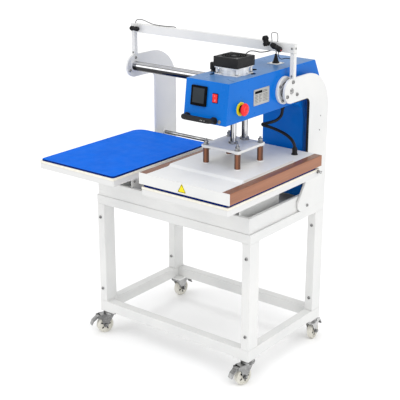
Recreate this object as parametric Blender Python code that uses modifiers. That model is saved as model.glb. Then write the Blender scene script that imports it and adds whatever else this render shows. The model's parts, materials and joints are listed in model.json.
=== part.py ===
"""Twin-station heat press on a wheeled stand.

X runs left to right, Y from front to rear and Z up, in metres. The model is laid out around the middle of the
stand on the floor, and at the end it is moved so that its origin is under the middle of its overall box.
The head rests at the right station with the heating platen down.
"""
import math

import bmesh
import bpy
from mathutils import Matrix, Vector

# ------------------------------------------------------------------ driving dimensions
GAP = 0.0003                    # clearance between touching pieces

STAND_WIDTH = 0.800
STAND_DEPTH = 0.535
LEG_WIDTH = 0.0375
LEG_DEPTH = 0.0635
RAIL_WIDTH = 0.038
FOOT_PAD_SIZE = 0.076
FOOT_PAD_THICKNESS = 0.006
LOWER_FRAME_BOTTOM = 0.1126
LOWER_FRAME_TOP = 0.1558
TOP_FRAME_BOTTOM = 0.6097
TOP_FRAME_TOP = 0.6482

SHEET = 0.003
TRAY_WIDTH = 0.785
TRAY_DEPTH = 0.531
TRAY_TOP = 0.7124
SUPPORT_WIDTH = 0.150
SUPPORT_FRONT = -0.2610
SUPPORT_REAR = 0.0100

HEAD_X = 0.268                  # right station, where the head rests
LEFT_STATION_X = -0.280
PRESS_Y = -0.2035               # middle of both stations
BOARD_WIDTH = 0.404
BOARD_DEPTH = 0.610
BOARD_BOTTOM = 0.808
BOARD_TOP = 0.840
PAD_WIDTH = 0.397
PAD_DEPTH = 0.602
PAD_TOP = 0.848
PAD_CORNER_RADIUS = 0.030

SIDE_PLATE_INNER_X = 0.394
SIDE_PLATE_THICKNESS = 0.010
SIDE_PLATE_TOP = 1.211
SIDE_PLATE_BOTTOM = TOP_FRAME_TOP + 0.0008
SIDE_PLATE_FRONT = 0.118
SIDE_PLATE_REAR = 0.262
SHAFT_Y = -0.015
SHAFT_Z = 1.163
SHAFT_RADIUS = 0.020
NOSE_RADIUS = 0.048
GUIDE_ROD_Y = 0.180
GUIDE_ROD_Z = 0.830
GUIDE_ROD_RADIUS = 0.008

BEAM_Y = -0.006
BEAM_DEPTH = 0.022
BEAM_BOTTOM = 1.3078
BEAM_TOP = 1.3435
BEAM_HALF_LENGTH = 0.410
POST_SIZE = 0.018
LASER_PIN_Z = (BEAM_BOTTOM + BEAM_TOP) / 2

ARM_WIDTH = 0.195
ARM_FRONT = -0.366              # top edge of the leaning front
ARM_FRONT_FOOT = -0.386         # its bottom edge
ARM_TOP = 1.246
ARM_BOTTOM = 1.093
ARM_TOP_REAR = 0.212
COLUMN_FRONT = 0.135
COLUMN_REAR = 0.250
COLUMN_BOTTOM = 0.690
ARCH_RADIUS = 0.077
BEARING_FLANGE_RADIUS = 0.054
BEARING_FLANGE_THICKNESS = 0.010
BEARING_SLEEVE_RADIUS = 0.0255
ROCKER_X = 0.3094
ROCKER_Z = 1.1885
STOP_Y = -0.2960
STOP_Z = 1.1425

ACTUATOR_RADIUS = 0.0555
ACTUATOR_FLANGE_SIZE = 0.104
TIE_ROD_OFFSET = 0.0455
ACTUATOR_TOP = 1.2755
ACTUATOR_BOTTOM = 1.140
ACTUATOR_BORE = 0.030
FAN_HOUSING_SIZE = 0.110
FAN_HOUSING_TOP = 1.3138
FAN_OPENING_RADIUS = 0.049

COVER_WIDTH = 0.420
COVER_DEPTH = 0.616
COVER_BOTTOM = 0.8515
COVER_TOP = 0.895
COVER_RAISED_TOP = 0.903
STRIP_WIDTH = 0.035
HEATING_PLATE_TOP = 0.878
PRESS_PLATE_SIZE = 0.176
PRESS_PLATE_BOTTOM = 0.9665
PRESS_PLATE_TOP = 0.9765
SPACER_OFFSET = 0.074
SPACER_RADIUS = 0.0115
PISTON_ROD_RADIUS = 0.0115
GUIDE_COLUMN_OFFSET = 0.0735
GUIDE_COLUMN_TOP = 1.158

WHEEL_RADIUS = 0.0375
WHEEL_WIDTH = 0.024
AXLE_RADIUS = 0.004
CASTER_TRAIL = 0.026
CASTER_TOP = LOWER_FRAME_BOTTOM - FOOT_PAD_THICKNESS
CASTER_X = 0.376
CASTER_Y = 0.2355
CASTER_YAWS = {                 # direction in which each wheel trails, degrees from +X
    "front_left": -118.0,
    "front_right": -105.0,
    "rear_left": 84.0,
    "rear_right": 96.0,
}

FAN_LEAD_RADIUS = 0.0020
CONDUIT_RADIUS = 0.0065
# Routes of the leads, hand laid, in metres from the middle of the stand.
FAN_LEAD_ROUTE = [
    (0.2700, -0.1480, 1.3020), (0.2700, -0.1430, 1.3025), (0.2708, -0.1310, 1.3100), (0.2720, -0.1100, 1.3160),
    (0.2740, -0.0800, 1.3120), (0.2770, -0.0500, 1.3040), (0.2800, -0.0200, 1.3010), (0.2830, 0.0100, 1.3010),
    (0.2850, 0.0340, 1.3010), (0.2860, 0.0480, 1.2940), (0.2860, 0.0480, 1.2848),
]
CONDUIT_ROUTE = [
    (0.3200, 0.0520, 1.0925), (0.3200, 0.0520, 1.0740), (0.3205, 0.0500, 1.0560), (0.3190, 0.0420, 1.0400),
    (0.3125, 0.0240, 1.0275), (0.3000, 0.0045, 1.0210), (0.2830, -0.0070, 1.0155), (0.2660, -0.0030, 1.0090),
    (0.2550, 0.0160, 1.0000), (0.2575, 0.0405, 0.9905), (0.2735, 0.0575, 0.9810), (0.2995, 0.0660, 0.9720),
    (0.3310, 0.0655, 0.9625), (0.3600, 0.0585, 0.9510), (0.3800, 0.0500, 0.9370), (0.3870, 0.0460, 0.9210),
    (0.3877, 0.0450, 0.9080), (0.3877, 0.0450, 0.8955),
]
LEFT_LASER_LEAD_ROUTE = [
    (-0.3920, -0.0060, 1.3438), (-0.3920, -0.0060, 1.3490), (-0.3890, -0.0060, 1.3550), (-0.3800, -0.0060, 1.3600),
    (-0.3650, -0.0060, 1.3615), (-0.3450, -0.0060, 1.3595), (-0.3200, -0.0060, 1.3530), (-0.2950, -0.0060, 1.3480),
    (-0.2600, -0.0060, 1.3465), (-0.2250, -0.0050, 1.3465), (-0.2000, -0.0010, 1.3470), (-0.1880, 0.0070, 1.3450),
    (-0.1830, 0.0110, 1.3370), (-0.1822, 0.0110, 1.3290), (-0.1820, 0.0085, 1.3262), (-0.1820, 0.0055, 1.3260),
]
RIGHT_LASER_LEAD_ROUTE = [
    (0.3350, -0.0100, 1.3073), (0.3350, -0.0100, 1.3000), (0.3365, -0.0100, 1.2895), (0.3410, -0.0095, 1.2820),
    (0.3480, -0.0090, 1.2795), (0.3560, -0.0080, 1.2810), (0.3650, -0.0070, 1.2838), (0.3780, -0.0060, 1.2850),
    (0.3914, -0.0060, 1.2850),
]

# ------------------------------------------------------------------ collections and materials
PALETTE = {                     # colour, metallic, roughness
    "white_paint": ((0.84, 0.84, 0.82), 0.0, 0.45),
    "blue_paint": ((0.015, 0.17, 0.66), 0.0, 0.35),
    "pad_silicone": ((0.01, 0.16, 0.72), 0.0, 0.55),
    "board_white": ((0.82, 0.81, 0.78), 0.0, 0.5),
    "strip_brown": ((0.35, 0.16, 0.09), 0.0, 0.4),
    "heater_alloy": ((0.32, 0.24, 0.19), 0.6, 0.45),
    "chrome": ((0.75, 0.75, 0.76), 1.0, 0.12),
    "bright_steel": ((0.62, 0.62, 0.62), 1.0, 0.3),
    "machined_alloy": ((0.8, 0.8, 0.81), 0.9, 0.25),
    "black_plastic": ((0.02, 0.02, 0.022), 0.0, 0.5),
    "wheel_cream": ((0.75, 0.73, 0.66), 0.0, 0.5),
    "stop_yellow": ((0.85, 0.75, 0.03), 0.0, 0.4),
    "stop_red": ((0.75, 0.03, 0.03), 0.0, 0.35),
}


def start_empty_scene():
    for old in list(bpy.data.objects):
        bpy.data.objects.remove(old, do_unlink=True)


def new_collection(name):
    collection = bpy.data.collections.new(name)
    bpy.context.scene.collection.children.link(collection)
    return collection


def make_materials():
    made = {}
    for name, (colour, metallic, roughness) in PALETTE.items():
        material = bpy.data.materials.new(name)
        material.use_nodes = True
        shader = material.node_tree.nodes["Principled BSDF"]
        shader.inputs["Base Color"].default_value = (*colour, 1.0)
        shader.inputs["Metallic"].default_value = metallic
        shader.inputs["Roughness"].default_value = roughness
        material.diffuse_color = (*colour, 1.0)
        made[name] = material
    return made


start_empty_scene()
PARTS = new_collection("heat_press")
CUTTERS = new_collection("cutters")
MATERIALS = make_materials()


# ------------------------------------------------------------------ building blocks
def add_object(name, mesh, material, matrix=None):
    """Links a mesh as one named part."""
    part = bpy.data.objects.new(name, mesh)
    PARTS.objects.link(part)
    if material:
        mesh.materials.append(MATERIALS[material])
    if matrix is not None:
        part.matrix_world = matrix
    return part


def mesh_from(bm, name):
    mesh = bpy.data.meshes.new(name)
    bm.to_mesh(mesh)
    bm.free()
    return mesh


def add_bevel(part, width, segments=2):
    bevel = part.modifiers.new("edges", "BEVEL")
    bevel.width = width
    bevel.segments = segments
    bevel.limit_method = "ANGLE"
    bevel.angle_limit = math.radians(50)
    return part


def block(name, low, high, material=None, bevel=0.0, segments=2, origin=None):
    """An upright box between two corners, with its origin at its middle or where it is asked for."""
    low = Vector(low)
    high = Vector(high)
    middle = Vector(origin) if origin else (low + high) / 2
    bm = bmesh.new()
    bmesh.ops.create_cube(bm, size=1.0)
    bmesh.ops.scale(bm, vec=high - low, verts=bm.verts)
    bmesh.ops.translate(bm, vec=(low + high) / 2 - middle, verts=bm.verts)
    part = add_object(name, mesh_from(bm, name), material, Matrix.Translation(middle))
    if bevel:
        add_bevel(part, bevel, segments)
    return part


def align_z_to(direction):
    return Vector((0, 0, 1)).rotation_difference(Vector(direction)).to_matrix().to_4x4()


def rod(name, start, end, radius, material=None, sides=32, bevel=0.0, end_radius=None):
    """A cylinder or cone from one point to another. Its origin is at its start, on its axis."""
    start = Vector(start)
    span = Vector(end) - start
    bm = bmesh.new()
    bmesh.ops.create_cone(bm, cap_ends=True, segments=sides, radius1=radius,
                          radius2=radius if end_radius is None else end_radius, depth=span.length)
    bmesh.ops.translate(bm, vec=(0, 0, span.length / 2), verts=bm.verts)
    part = add_object(name, mesh_from(bm, name), material, Matrix.Translation(start) @ align_z_to(span))
    if bevel:
        add_bevel(part, bevel)
    return part


def turned(name, profile, base, direction, material=None, steps=32):
    """A turned shape. The profile lists (radius, height) down its outer side from the top."""
    bm = bmesh.new()
    corners = [bm.verts.new((radius, 0, height)) for radius, height in profile]
    for first, second in zip(corners, corners[1:]):
        bm.edges.new((first, second))
    part = add_object(name, mesh_from(bm, name), material, Matrix.Translation(Vector(base)) @ align_z_to(direction))
    screw = part.modifiers.new("turn", "SCREW")
    screw.axis = "Z"
    screw.steps = steps
    screw.render_steps = steps
    screw.use_merge_vertices = True
    screw.merge_threshold = 0.00002
    screw.use_smooth_shade = True
    return part


def to_mesh(part):
    """Turns a curve object into a welded mesh object of the same name and place."""
    bpy.context.view_layer.update()
    evaluated = part.evaluated_get(bpy.context.evaluated_depsgraph_get())
    mesh = bpy.data.meshes.new_from_object(evaluated)
    place = part.matrix_world.copy()
    name = part.name
    material = part.data.materials[0].name if part.data.materials else None
    bpy.data.objects.remove(part, do_unlink=True)
    mesh.materials.clear()
    bm = bmesh.new()
    bm.from_mesh(mesh)
    bmesh.ops.remove_doubles(bm, verts=bm.verts, dist=0.00001)
    bmesh.ops.dissolve_limit(bm, angle_limit=math.radians(0.5), verts=bm.verts, edges=bm.edges)
    bmesh.ops.recalc_face_normals(bm, faces=bm.faces)
    bm.to_mesh(mesh)
    bm.free()
    return add_object(name, mesh, material, place)


# Frames for flat outlines: the outline's first and second axes and its thickness direction.
OUTLINE_IN_XY = Matrix.Identity(4)
OUTLINE_IN_YZ = Matrix(((0, 0, 1, 0), (1, 0, 0, 0), (0, 1, 0, 0), (0, 0, 0, 1)))
OUTLINE_IN_XZ = Matrix(((1, 0, 0, 0), (0, 0, -1, 0), (0, 1, 0, 0), (0, 0, 0, 1)))


def plate(name, outline, thickness, middle, frame=OUTLINE_IN_XY, material=None, bevel=0.0):
    """A flat outline given thickness, with the middle of the thickness at a point."""
    curve = bpy.data.curves.new(name, "CURVE")
    curve.dimensions = "2D"
    curve.fill_mode = "BOTH"
    curve.extrude = thickness / 2
    spline = curve.splines.new("POLY")
    spline.points.add(len(outline) - 1)
    for point, (u, v) in zip(spline.points, outline):
        point.co = (u, v, 0, 1)
    spline.use_cyclic_u = True
    part = bpy.data.objects.new(name, curve)
    PARTS.objects.link(part)
    part.matrix_world = Matrix.Translation(Vector(middle)) @ frame
    part = to_mesh(part)
    if material:
        part.data.materials.append(MATERIALS[material])
    if bevel:
        add_bevel(part, bevel)
    return part


def arc(centre, radius, start, end, steps):
    """Points along an arc, in degrees."""
    points = []
    for step in range(steps + 1):
        angle = math.radians(start + (end - start) * step / steps)
        points.append((centre[0] + radius * math.cos(angle), centre[1] + radius * math.sin(angle)))
    return points


def rounded_rectangle(width, depth, radius, steps=5):
    points = []
    for sign_x, sign_y, start in ((1, 1, 0), (-1, 1, 90), (-1, -1, 180), (1, -1, 270)):
        centre = (sign_x * (width / 2 - radius), sign_y * (depth / 2 - radius))
        points += arc(centre, radius, start, start + 90, steps)
    return points


def smooth_route(route, spacing):
    """Points spaced along a smooth curve through a route's points."""
    route = [Vector(point) for point in route]
    padded = [2 * route[0] - route[1]] + route + [2 * route[-1] - route[-2]]
    dense = []
    for index in range(1, len(padded) - 2):
        before, start, end, after = padded[index - 1:index + 3]
        for step in range(24):
            t = step / 24
            dense.append(0.5 * (2 * start + (end - before) * t + (2 * before - 5 * start + 4 * end - after) * t ** 2
                                + (3 * start - before - 3 * end + after) * t ** 3))
    dense.append(route[-1])
    lengths = [0.0]
    for first, second in zip(dense, dense[1:]):
        lengths.append(lengths[-1] + (second - first).length)
    count = max(2, round(lengths[-1] / spacing))
    points = []
    place = 0
    for index in range(count + 1):
        target = lengths[-1] * index / count
        while place < len(lengths) - 2 and lengths[place + 1] < target:
            place += 1
        share = (target - lengths[place]) / (lengths[place + 1] - lengths[place])
        points.append(dense[place].lerp(dense[place + 1], min(1.0, max(0.0, share))))
    return points


def square_ends(route, points, length):
    """Adds a short straight step at both ends, so that the ends meet their pieces squarely."""
    route = [Vector(point) for point in route]
    first = route[0] + (route[1] - route[0]).normalized() * length
    last = route[-1] + (route[-2] - route[-1]).normalized() * length
    return [points[0], first] + points[1:-1] + [last, points[-1]]


def tube(name, points, radius, material, resolution=2):
    """A round bar or lead along points, with filled ends."""
    curve = bpy.data.curves.new(name, "CURVE")
    curve.dimensions = "3D"
    curve.bevel_depth = radius
    curve.bevel_resolution = resolution
    curve.use_fill_caps = True
    spline = curve.splines.new("POLY")
    spline.points.add(len(points) - 1)
    for point, place in zip(spline.points, points):
        point.co = (*place, 1)
    part = bpy.data.objects.new(name, curve)
    PARTS.objects.link(part)
    curve.materials.append(MATERIALS[material])
    return part


def combine(part, others, operation):
    """Joins or cuts a part with other shapes, which move to the cutters' collection."""
    for other in others:
        boolean = part.modifiers.new(other.name, "BOOLEAN")
        boolean.operation = operation
        boolean.object = other
        boolean.solver = "EXACT"
        PARTS.objects.unlink(other)
        CUTTERS.objects.link(other)
        other.hide_render = True
        other.display_type = "WIRE"
    return part


def join(part, *others):
    return combine(part, others, "UNION")


def cut(part, *others):
    return combine(part, others, "DIFFERENCE")


def smooth(part, angle=35):
    part.data.shade_smooth()
    part.data.set_sharp_from_angle(angle=math.radians(angle))
    return part


def joint_empty(name, place, children):
    """An empty on a joint's axis that carries the pieces of one moving body."""
    empty = bpy.data.objects.new(name, None)
    empty.empty_display_size = 0.05
    empty.location = place
    PARTS.objects.link(empty)
    for child in children:
        child.parent = empty
        child.matrix_parent_inverse = Matrix.Translation(Vector(place)).inverted()
    return empty


# ------------------------------------------------------------------ stand
def frame_ring(name, bottom, top):
    """A welded ring of four rails."""
    ring = block(name, (-STAND_WIDTH / 2, -STAND_DEPTH / 2, bottom), (STAND_WIDTH / 2, STAND_DEPTH / 2, top),
                 "white_paint")
    inside = block(name + "_inside", (-STAND_WIDTH / 2 + RAIL_WIDTH, -STAND_DEPTH / 2 + RAIL_WIDTH, bottom - 0.01),
                   (STAND_WIDTH / 2 - RAIL_WIDTH, STAND_DEPTH / 2 - RAIL_WIDTH, top + 0.01))
    return cut(ring, inside)


def make_stand():
    frame_ring("top_frame", TOP_FRAME_BOTTOM, TOP_FRAME_TOP)
    lower = frame_ring("lower_frame", LOWER_FRAME_BOTTOM, LOWER_FRAME_TOP)
    pads = []
    for side_x, side_y, corner in corners():
        x = side_x * (STAND_WIDTH / 2 - FOOT_PAD_SIZE / 2)
        y = side_y * (STAND_DEPTH / 2 - FOOT_PAD_SIZE / 2)
        half = FOOT_PAD_SIZE / 2
        pads.append(block("foot_pad_" + corner, (x - half, y - half, CASTER_TOP),
                          (x + half, y + half, LOWER_FRAME_BOTTOM + 0.001)))
        leg_x = side_x * (STAND_WIDTH / 2 - LEG_WIDTH / 2)
        leg_y = side_y * (STAND_DEPTH / 2 - LEG_DEPTH / 2)
        block("leg_" + corner,
              (leg_x - LEG_WIDTH / 2, leg_y - LEG_DEPTH / 2, LOWER_FRAME_TOP + GAP),
              (leg_x + LEG_WIDTH / 2, leg_y + LEG_DEPTH / 2, TOP_FRAME_BOTTOM - GAP), "white_paint", 0.0015)
    join(lower, *pads)


def corners():
    for side_y, row in ((-1, "front"), (1, "rear")):
        for side_x, side in ((-1, "left"), (1, "right")):
            yield side_x, side_y, row + "_" + side


def make_base_tray():
    """Open tray of folded sheet, with a channel standing in it under each work station."""
    low = Vector((-TRAY_WIDTH / 2, -TRAY_DEPTH / 2, TOP_FRAME_TOP + GAP))
    high = Vector((TRAY_WIDTH / 2, TRAY_DEPTH / 2, TRAY_TOP))
    wall = Vector((SHEET, SHEET, 0))
    tray = block("base_tray", low, high, "white_paint")
    hollow = block("tray_hollow", low + wall + Vector((0, 0, SHEET)), high - wall + Vector((0, 0, 0.01)))
    cut(tray, hollow)
    floor = low.z + SHEET
    supports = []
    for station_x in (HEAD_X, LEFT_STATION_X):
        half = SUPPORT_WIDTH / 2
        outline = [(station_x - half, floor - 0.001), (station_x - half, BOARD_BOTTOM - GAP),
                   (station_x + half, BOARD_BOTTOM - GAP), (station_x + half, floor - 0.001),
                   (station_x + half - SHEET, floor - 0.001), (station_x + half - SHEET, BOARD_BOTTOM - SHEET),
                   (station_x - half + SHEET, BOARD_BOTTOM - SHEET), (station_x - half + SHEET, floor - 0.001)]
        supports.append(plate("platen_support", outline, SUPPORT_REAR - SUPPORT_FRONT,
                              (0, (SUPPORT_REAR + SUPPORT_FRONT) / 2, 0), OUTLINE_IN_XZ))
    join(tray, *supports)


def make_caster_fork(corner, place, turn):
    """Swivel hub, crown, two cheeks with pedal ears, and the axle, welded into one piece."""
    cheek_gap = WHEEL_WIDTH / 2 + 0.002
    cheek = 0.003
    hub = rod("caster_fork_" + corner, (0, 0, 0.088), (0, 0, CASTER_TOP - GAP), 0.026, "bright_steel", 24)
    crown = block("crown", (-0.020, -cheek_gap - cheek, 0.082), (0.050, cheek_gap + cheek, 0.0905))
    outline = [(-0.016, 0.088), (CASTER_TRAIL - 0.011, 0.0375)]
    outline += arc((CASTER_TRAIL, WHEEL_RADIUS), 0.011, 180, 360, 8)
    outline += [(0.047, 0.070), (0.062, 0.074), (0.062, 0.088)]
    cheeks = [plate("cheek", outline, cheek, (0, side * (cheek_gap + cheek / 2), 0), OUTLINE_IN_XZ)
              for side in (-1, 1)]
    reach = cheek_gap + cheek + 0.003
    axle = rod("axle", (CASTER_TRAIL, -reach, WHEEL_RADIUS), (CASTER_TRAIL, reach, WHEEL_RADIUS), AXLE_RADIUS,
               None, 16)
    join(hub, crown, *cheeks, axle)
    move = Matrix.Translation(place) @ turn
    for piece in (hub, crown, *cheeks, axle):
        piece.matrix_world = move @ piece.matrix_basis
    return hub


def make_caster_wheel(corner, place, turn):
    half = WHEEL_WIDTH / 2
    bore = AXLE_RADIUS + GAP
    profile = [(bore, half), (0.010, half), (0.010, half - 0.003), (0.028, half - 0.003), (0.0295, half),
               (WHEEL_RADIUS - 0.005, half), (WHEEL_RADIUS - 0.0015, half - 0.002), (WHEEL_RADIUS, half - 0.006)]
    profile += [(radius, -height) for radius, height in reversed(profile)]
    profile.append(profile[0])
    return turned("caster_wheel_" + corner, profile, Vector(place) + turn @ Vector((CASTER_TRAIL, 0, WHEEL_RADIUS)),
                  turn @ Vector((0, 1, 0)), "wheel_cream", 32)


def make_brake_pedal(corner, place, turn):
    """A bent treadle hinged between the fork's ears."""
    pivot = Vector((0.055, 0, 0.080))
    outline = [(-0.004, 0.004), (-0.004, -0.001), (0.006, -0.004), (0.026, -0.019), (0.034, -0.034),
               (0.0375, -0.0335), (0.030, -0.015), (0.008, 0.0035)]
    width = WHEEL_WIDTH + 0.002
    pedal = plate("brake_pedal_" + corner, outline, width, (0, 0, 0), OUTLINE_IN_XZ, "bright_steel", 0.0006)
    pedal.matrix_world = Matrix.Translation(place) @ turn @ Matrix.Translation(pivot) @ pedal.matrix_basis
    return pedal


def make_casters():
    for side_x, side_y, corner in corners():
        place = Vector((side_x * CASTER_X, side_y * CASTER_Y, 0))
        turn = Matrix.Rotation(math.radians(CASTER_YAWS[corner]), 4, "Z")
        pieces = [make_caster_fork(corner, place, turn), make_caster_wheel(corner, place, turn),
                  make_brake_pedal(corner, place, turn)]
        joint_empty("caster_swivel_" + corner, place, pieces)


# ------------------------------------------------------------------ machine frame
def side_plate_outline():
    rear_radius = 0.157
    outline = [(SHAFT_Y, SIDE_PLATE_TOP)]
    outline += arc((SIDE_PLATE_REAR - rear_radius, SIDE_PLATE_TOP - rear_radius), rear_radius, 90, 0, 16)
    outline += [(SIDE_PLATE_REAR, SIDE_PLATE_BOTTOM)]
    outline += arc((0.085, SIDE_PLATE_BOTTOM + 0.025), 0.025, -90, -180, 6)
    outline += [(0.060, 0.692), (SIDE_PLATE_FRONT, 0.776)]
    underside = SHAFT_Z - NOSE_RADIUS
    outline += arc((SIDE_PLATE_FRONT - 0.024, underside - 0.024), 0.024, 0, 90, 8)
    outline += arc((SHAFT_Y, SHAFT_Z), NOSE_RADIUS, -90, -270, 24)[:-1]
    return outline


def make_machine_frame():
    for side, name in ((-1, "left"), (1, "right")):
        middle = side * (SIDE_PLATE_INNER_X + SIDE_PLATE_THICKNESS / 2)
        plate("side_plate_" + name, side_plate_outline(), SIDE_PLATE_THICKNESS, (middle, 0, 0), OUTLINE_IN_YZ,
              "white_paint", 0.001)
        post_x = side * (BEAM_HALF_LENGTH - POST_SIZE / 2)
        block("beam_post_" + name,
              (post_x - POST_SIZE / 2, BEAM_Y - POST_SIZE / 2, SIDE_PLATE_TOP + GAP),
              (post_x + POST_SIZE / 2, BEAM_Y + POST_SIZE / 2, BEAM_BOTTOM - GAP), "white_paint", 0.001)
    block("overhead_beam", (-BEAM_HALF_LENGTH, BEAM_Y - BEAM_DEPTH / 2, BEAM_BOTTOM),
          (BEAM_HALF_LENGTH, BEAM_Y + BEAM_DEPTH / 2, BEAM_TOP), "white_paint", 0.001)
    reach = SIDE_PLATE_INNER_X - GAP
    smooth(rod("guide_shaft", (-reach, SHAFT_Y, SHAFT_Z), (reach, SHAFT_Y, SHAFT_Z), SHAFT_RADIUS, "chrome", 48))
    smooth(rod("rear_guide_rod", (-reach, GUIDE_ROD_Y, GUIDE_ROD_Z), (reach, GUIDE_ROD_Y, GUIDE_ROD_Z),
               GUIDE_ROD_RADIUS, "bright_steel", 24))


def make_laser(name, pin, direction, length, radius, offset):
    """A small line laser clamped to the front of the beam by a short pin, on which it turns."""
    x, pin_z = pin
    front = BEAM_Y - BEAM_DEPTH / 2 - GAP
    centre = Vector((x, front - radius - 0.0075, pin_z))
    direction = Vector(direction).normalized()
    body = rod(name, centre - direction * length * offset, centre + direction * length * (1 - offset), radius,
               "black_plastic", 20)
    pin = rod("laser_pin", (x, front, pin_z), (x, centre.y + radius / 2, pin_z), 0.0045, None, 12)
    collar = rod("laser_collar", centre - direction * 0.006, centre + direction * 0.006, radius + 0.0015, None, 20)
    return join(body, pin, collar)


def make_lasers():
    make_laser("laser_left", (-0.375, LASER_PIN_Z), (-1, 0, 0), 0.046, 0.0085, 0.5)
    make_laser("laser_middle", (0.297, LASER_PIN_Z + 0.0100), (0.25, 0, -1), 0.040, 0.0115, 0.80)
    make_laser("laser_right", (0.336, LASER_PIN_Z + 0.0030), (1, 0, -0.42), 0.050, 0.0095, 0.42)


def make_leads():
    for name, route, radius, spacing in (
            ("fan_lead", FAN_LEAD_ROUTE, FAN_LEAD_RADIUS, 0.010),
            ("laser_lead_left", LEFT_LASER_LEAD_ROUTE, FAN_LEAD_RADIUS * 0.8, 0.009),
            ("laser_lead_right", RIGHT_LASER_LEAD_ROUTE, FAN_LEAD_RADIUS * 0.8, 0.007),
            ("conduit", CONDUIT_ROUTE, CONDUIT_RADIUS, 0.015)):
        tube(name, square_ends(route, smooth_route(route, spacing), 1.2 * radius), radius, "black_plastic")


# ------------------------------------------------------------------ work stations
def make_stations():
    for station_x, side in ((LEFT_STATION_X, "left"), (HEAD_X, "right")):
        plate("lower_board_" + side, rounded_rectangle(BOARD_WIDTH, BOARD_DEPTH, 0.006), BOARD_TOP - BOARD_BOTTOM,
              (station_x, PRESS_Y, (BOARD_TOP + BOARD_BOTTOM) / 2), OUTLINE_IN_XY, "board_white", 0.001)
        bottom = BOARD_TOP + GAP
        plate("silicone_pad_" + side, rounded_rectangle(PAD_WIDTH, PAD_DEPTH, PAD_CORNER_RADIUS), PAD_TOP - bottom,
              (station_x, PRESS_Y, (PAD_TOP + bottom) / 2), OUTLINE_IN_XY, "pad_silicone", 0.001)


# ------------------------------------------------------------------ head
def arm_front_at(z):
    """How far forward the leaning front of the arm is at a height."""
    return ARM_FRONT + (ARM_FRONT_FOOT - ARM_FRONT) * (ARM_TOP - z) / (ARM_TOP - ARM_BOTTOM)


def on_arm_front(piece, z):
    """Turns a piece laid out on an upright front about its height on the front, to lie on the leaning one."""
    lean = math.atan2(ARM_FRONT - ARM_FRONT_FOOT, ARM_TOP - ARM_BOTTOM)
    upright = Vector((0, ARM_FRONT, z))
    leaning = Vector((0, arm_front_at(z), z))
    piece.matrix_world = (Matrix.Translation(leaning) @ Matrix.Rotation(-lean, 4, "X") @ Matrix.Translation(-upright)
                          @ piece.matrix_basis)
    return piece


def arm_outline(inset):
    """Side view of the arm and its rear column, moved inwards by a sheet's thickness for the inside."""
    top = ARM_TOP - inset
    bottom = ARM_BOTTOM + inset
    column_front = COLUMN_FRONT + inset
    column_rear = COLUMN_REAR - inset
    column_bottom = COLUMN_BOTTOM - (0.02 if inset else 0.0)
    outline = [(arm_front_at(top) + inset, top), (arm_front_at(bottom) + inset, bottom)]
    outline += arc((COLUMN_FRONT - ARCH_RADIUS, ARM_BOTTOM - ARCH_RADIUS), ARCH_RADIUS + inset, 90, 0, 12)
    outline += [(column_front, column_bottom), (column_rear, column_bottom)]
    outline += [(column_rear, 1.174), (ARM_TOP_REAR - inset * 0.6, top)]
    return outline


def make_arm_housing():
    """Folded sheet housing, hollow and open at the foot of its column."""
    arm = plate("arm_housing", arm_outline(0.0), ARM_WIDTH, (HEAD_X, 0, 0), OUTLINE_IN_YZ, "blue_paint", 0.0025)
    inside = plate("arm_inside", arm_outline(SHEET), ARM_WIDTH - 2 * SHEET, (HEAD_X, 0, 0), OUTLINE_IN_YZ)
    through = ARM_WIDTH / 2 + 0.01
    cutters = [
        inside,
        rod("shaft_hole", (HEAD_X - through, SHAFT_Y, SHAFT_Z), (HEAD_X + through, SHAFT_Y, SHAFT_Z),
            BEARING_SLEEVE_RADIUS + GAP, None, 36),
        rod("guide_rod_hole", (HEAD_X - through, GUIDE_ROD_Y, GUIDE_ROD_Z),
            (HEAD_X + through, GUIDE_ROD_Y, GUIDE_ROD_Z), GUIDE_ROD_RADIUS + 0.0006, None, 24),
        rod("actuator_hole", (HEAD_X, PRESS_Y, ARM_TOP - 0.01), (HEAD_X, PRESS_Y, ARM_TOP + 0.01),
            ACTUATOR_RADIUS + GAP, None, 40),
        rod("piston_hole", (HEAD_X, PRESS_Y, ARM_BOTTOM - 0.01), (HEAD_X, PRESS_Y, ARM_BOTTOM + 0.01),
            PISTON_ROD_RADIUS + 0.0006, None, 24),
        rod("guide_column_hole", (HEAD_X, PRESS_Y + GUIDE_COLUMN_OFFSET, ARM_BOTTOM - 0.01),
            (HEAD_X, PRESS_Y + GUIDE_COLUMN_OFFSET, ARM_BOTTOM + 0.01), PISTON_ROD_RADIUS + 0.0006, None, 24),
        on_arm_front(block("rocker_hole", (ROCKER_X - 0.0115, ARM_FRONT - 0.01, ROCKER_Z - 0.0165),
                           (ROCKER_X + 0.0115, ARM_FRONT + 0.01, ROCKER_Z + 0.0165)), ROCKER_Z),
        rod("stop_hole", (HEAD_X + through - 0.02, STOP_Y, STOP_Z), (HEAD_X + through, STOP_Y, STOP_Z), 0.0125,
            None, 20),
    ]
    for offset_x, offset_y in ((0.057, 0.042), (-0.057, -0.042), (0.020, 0.096)):
        x = HEAD_X + offset_x
        y = PRESS_Y + offset_y
        cutters.append(rod("top_hole", (x, y, ARM_TOP - 0.01), (x, y, ARM_TOP + 0.01), 0.011, None, 16))
    return cut(arm, *cutters)


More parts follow.
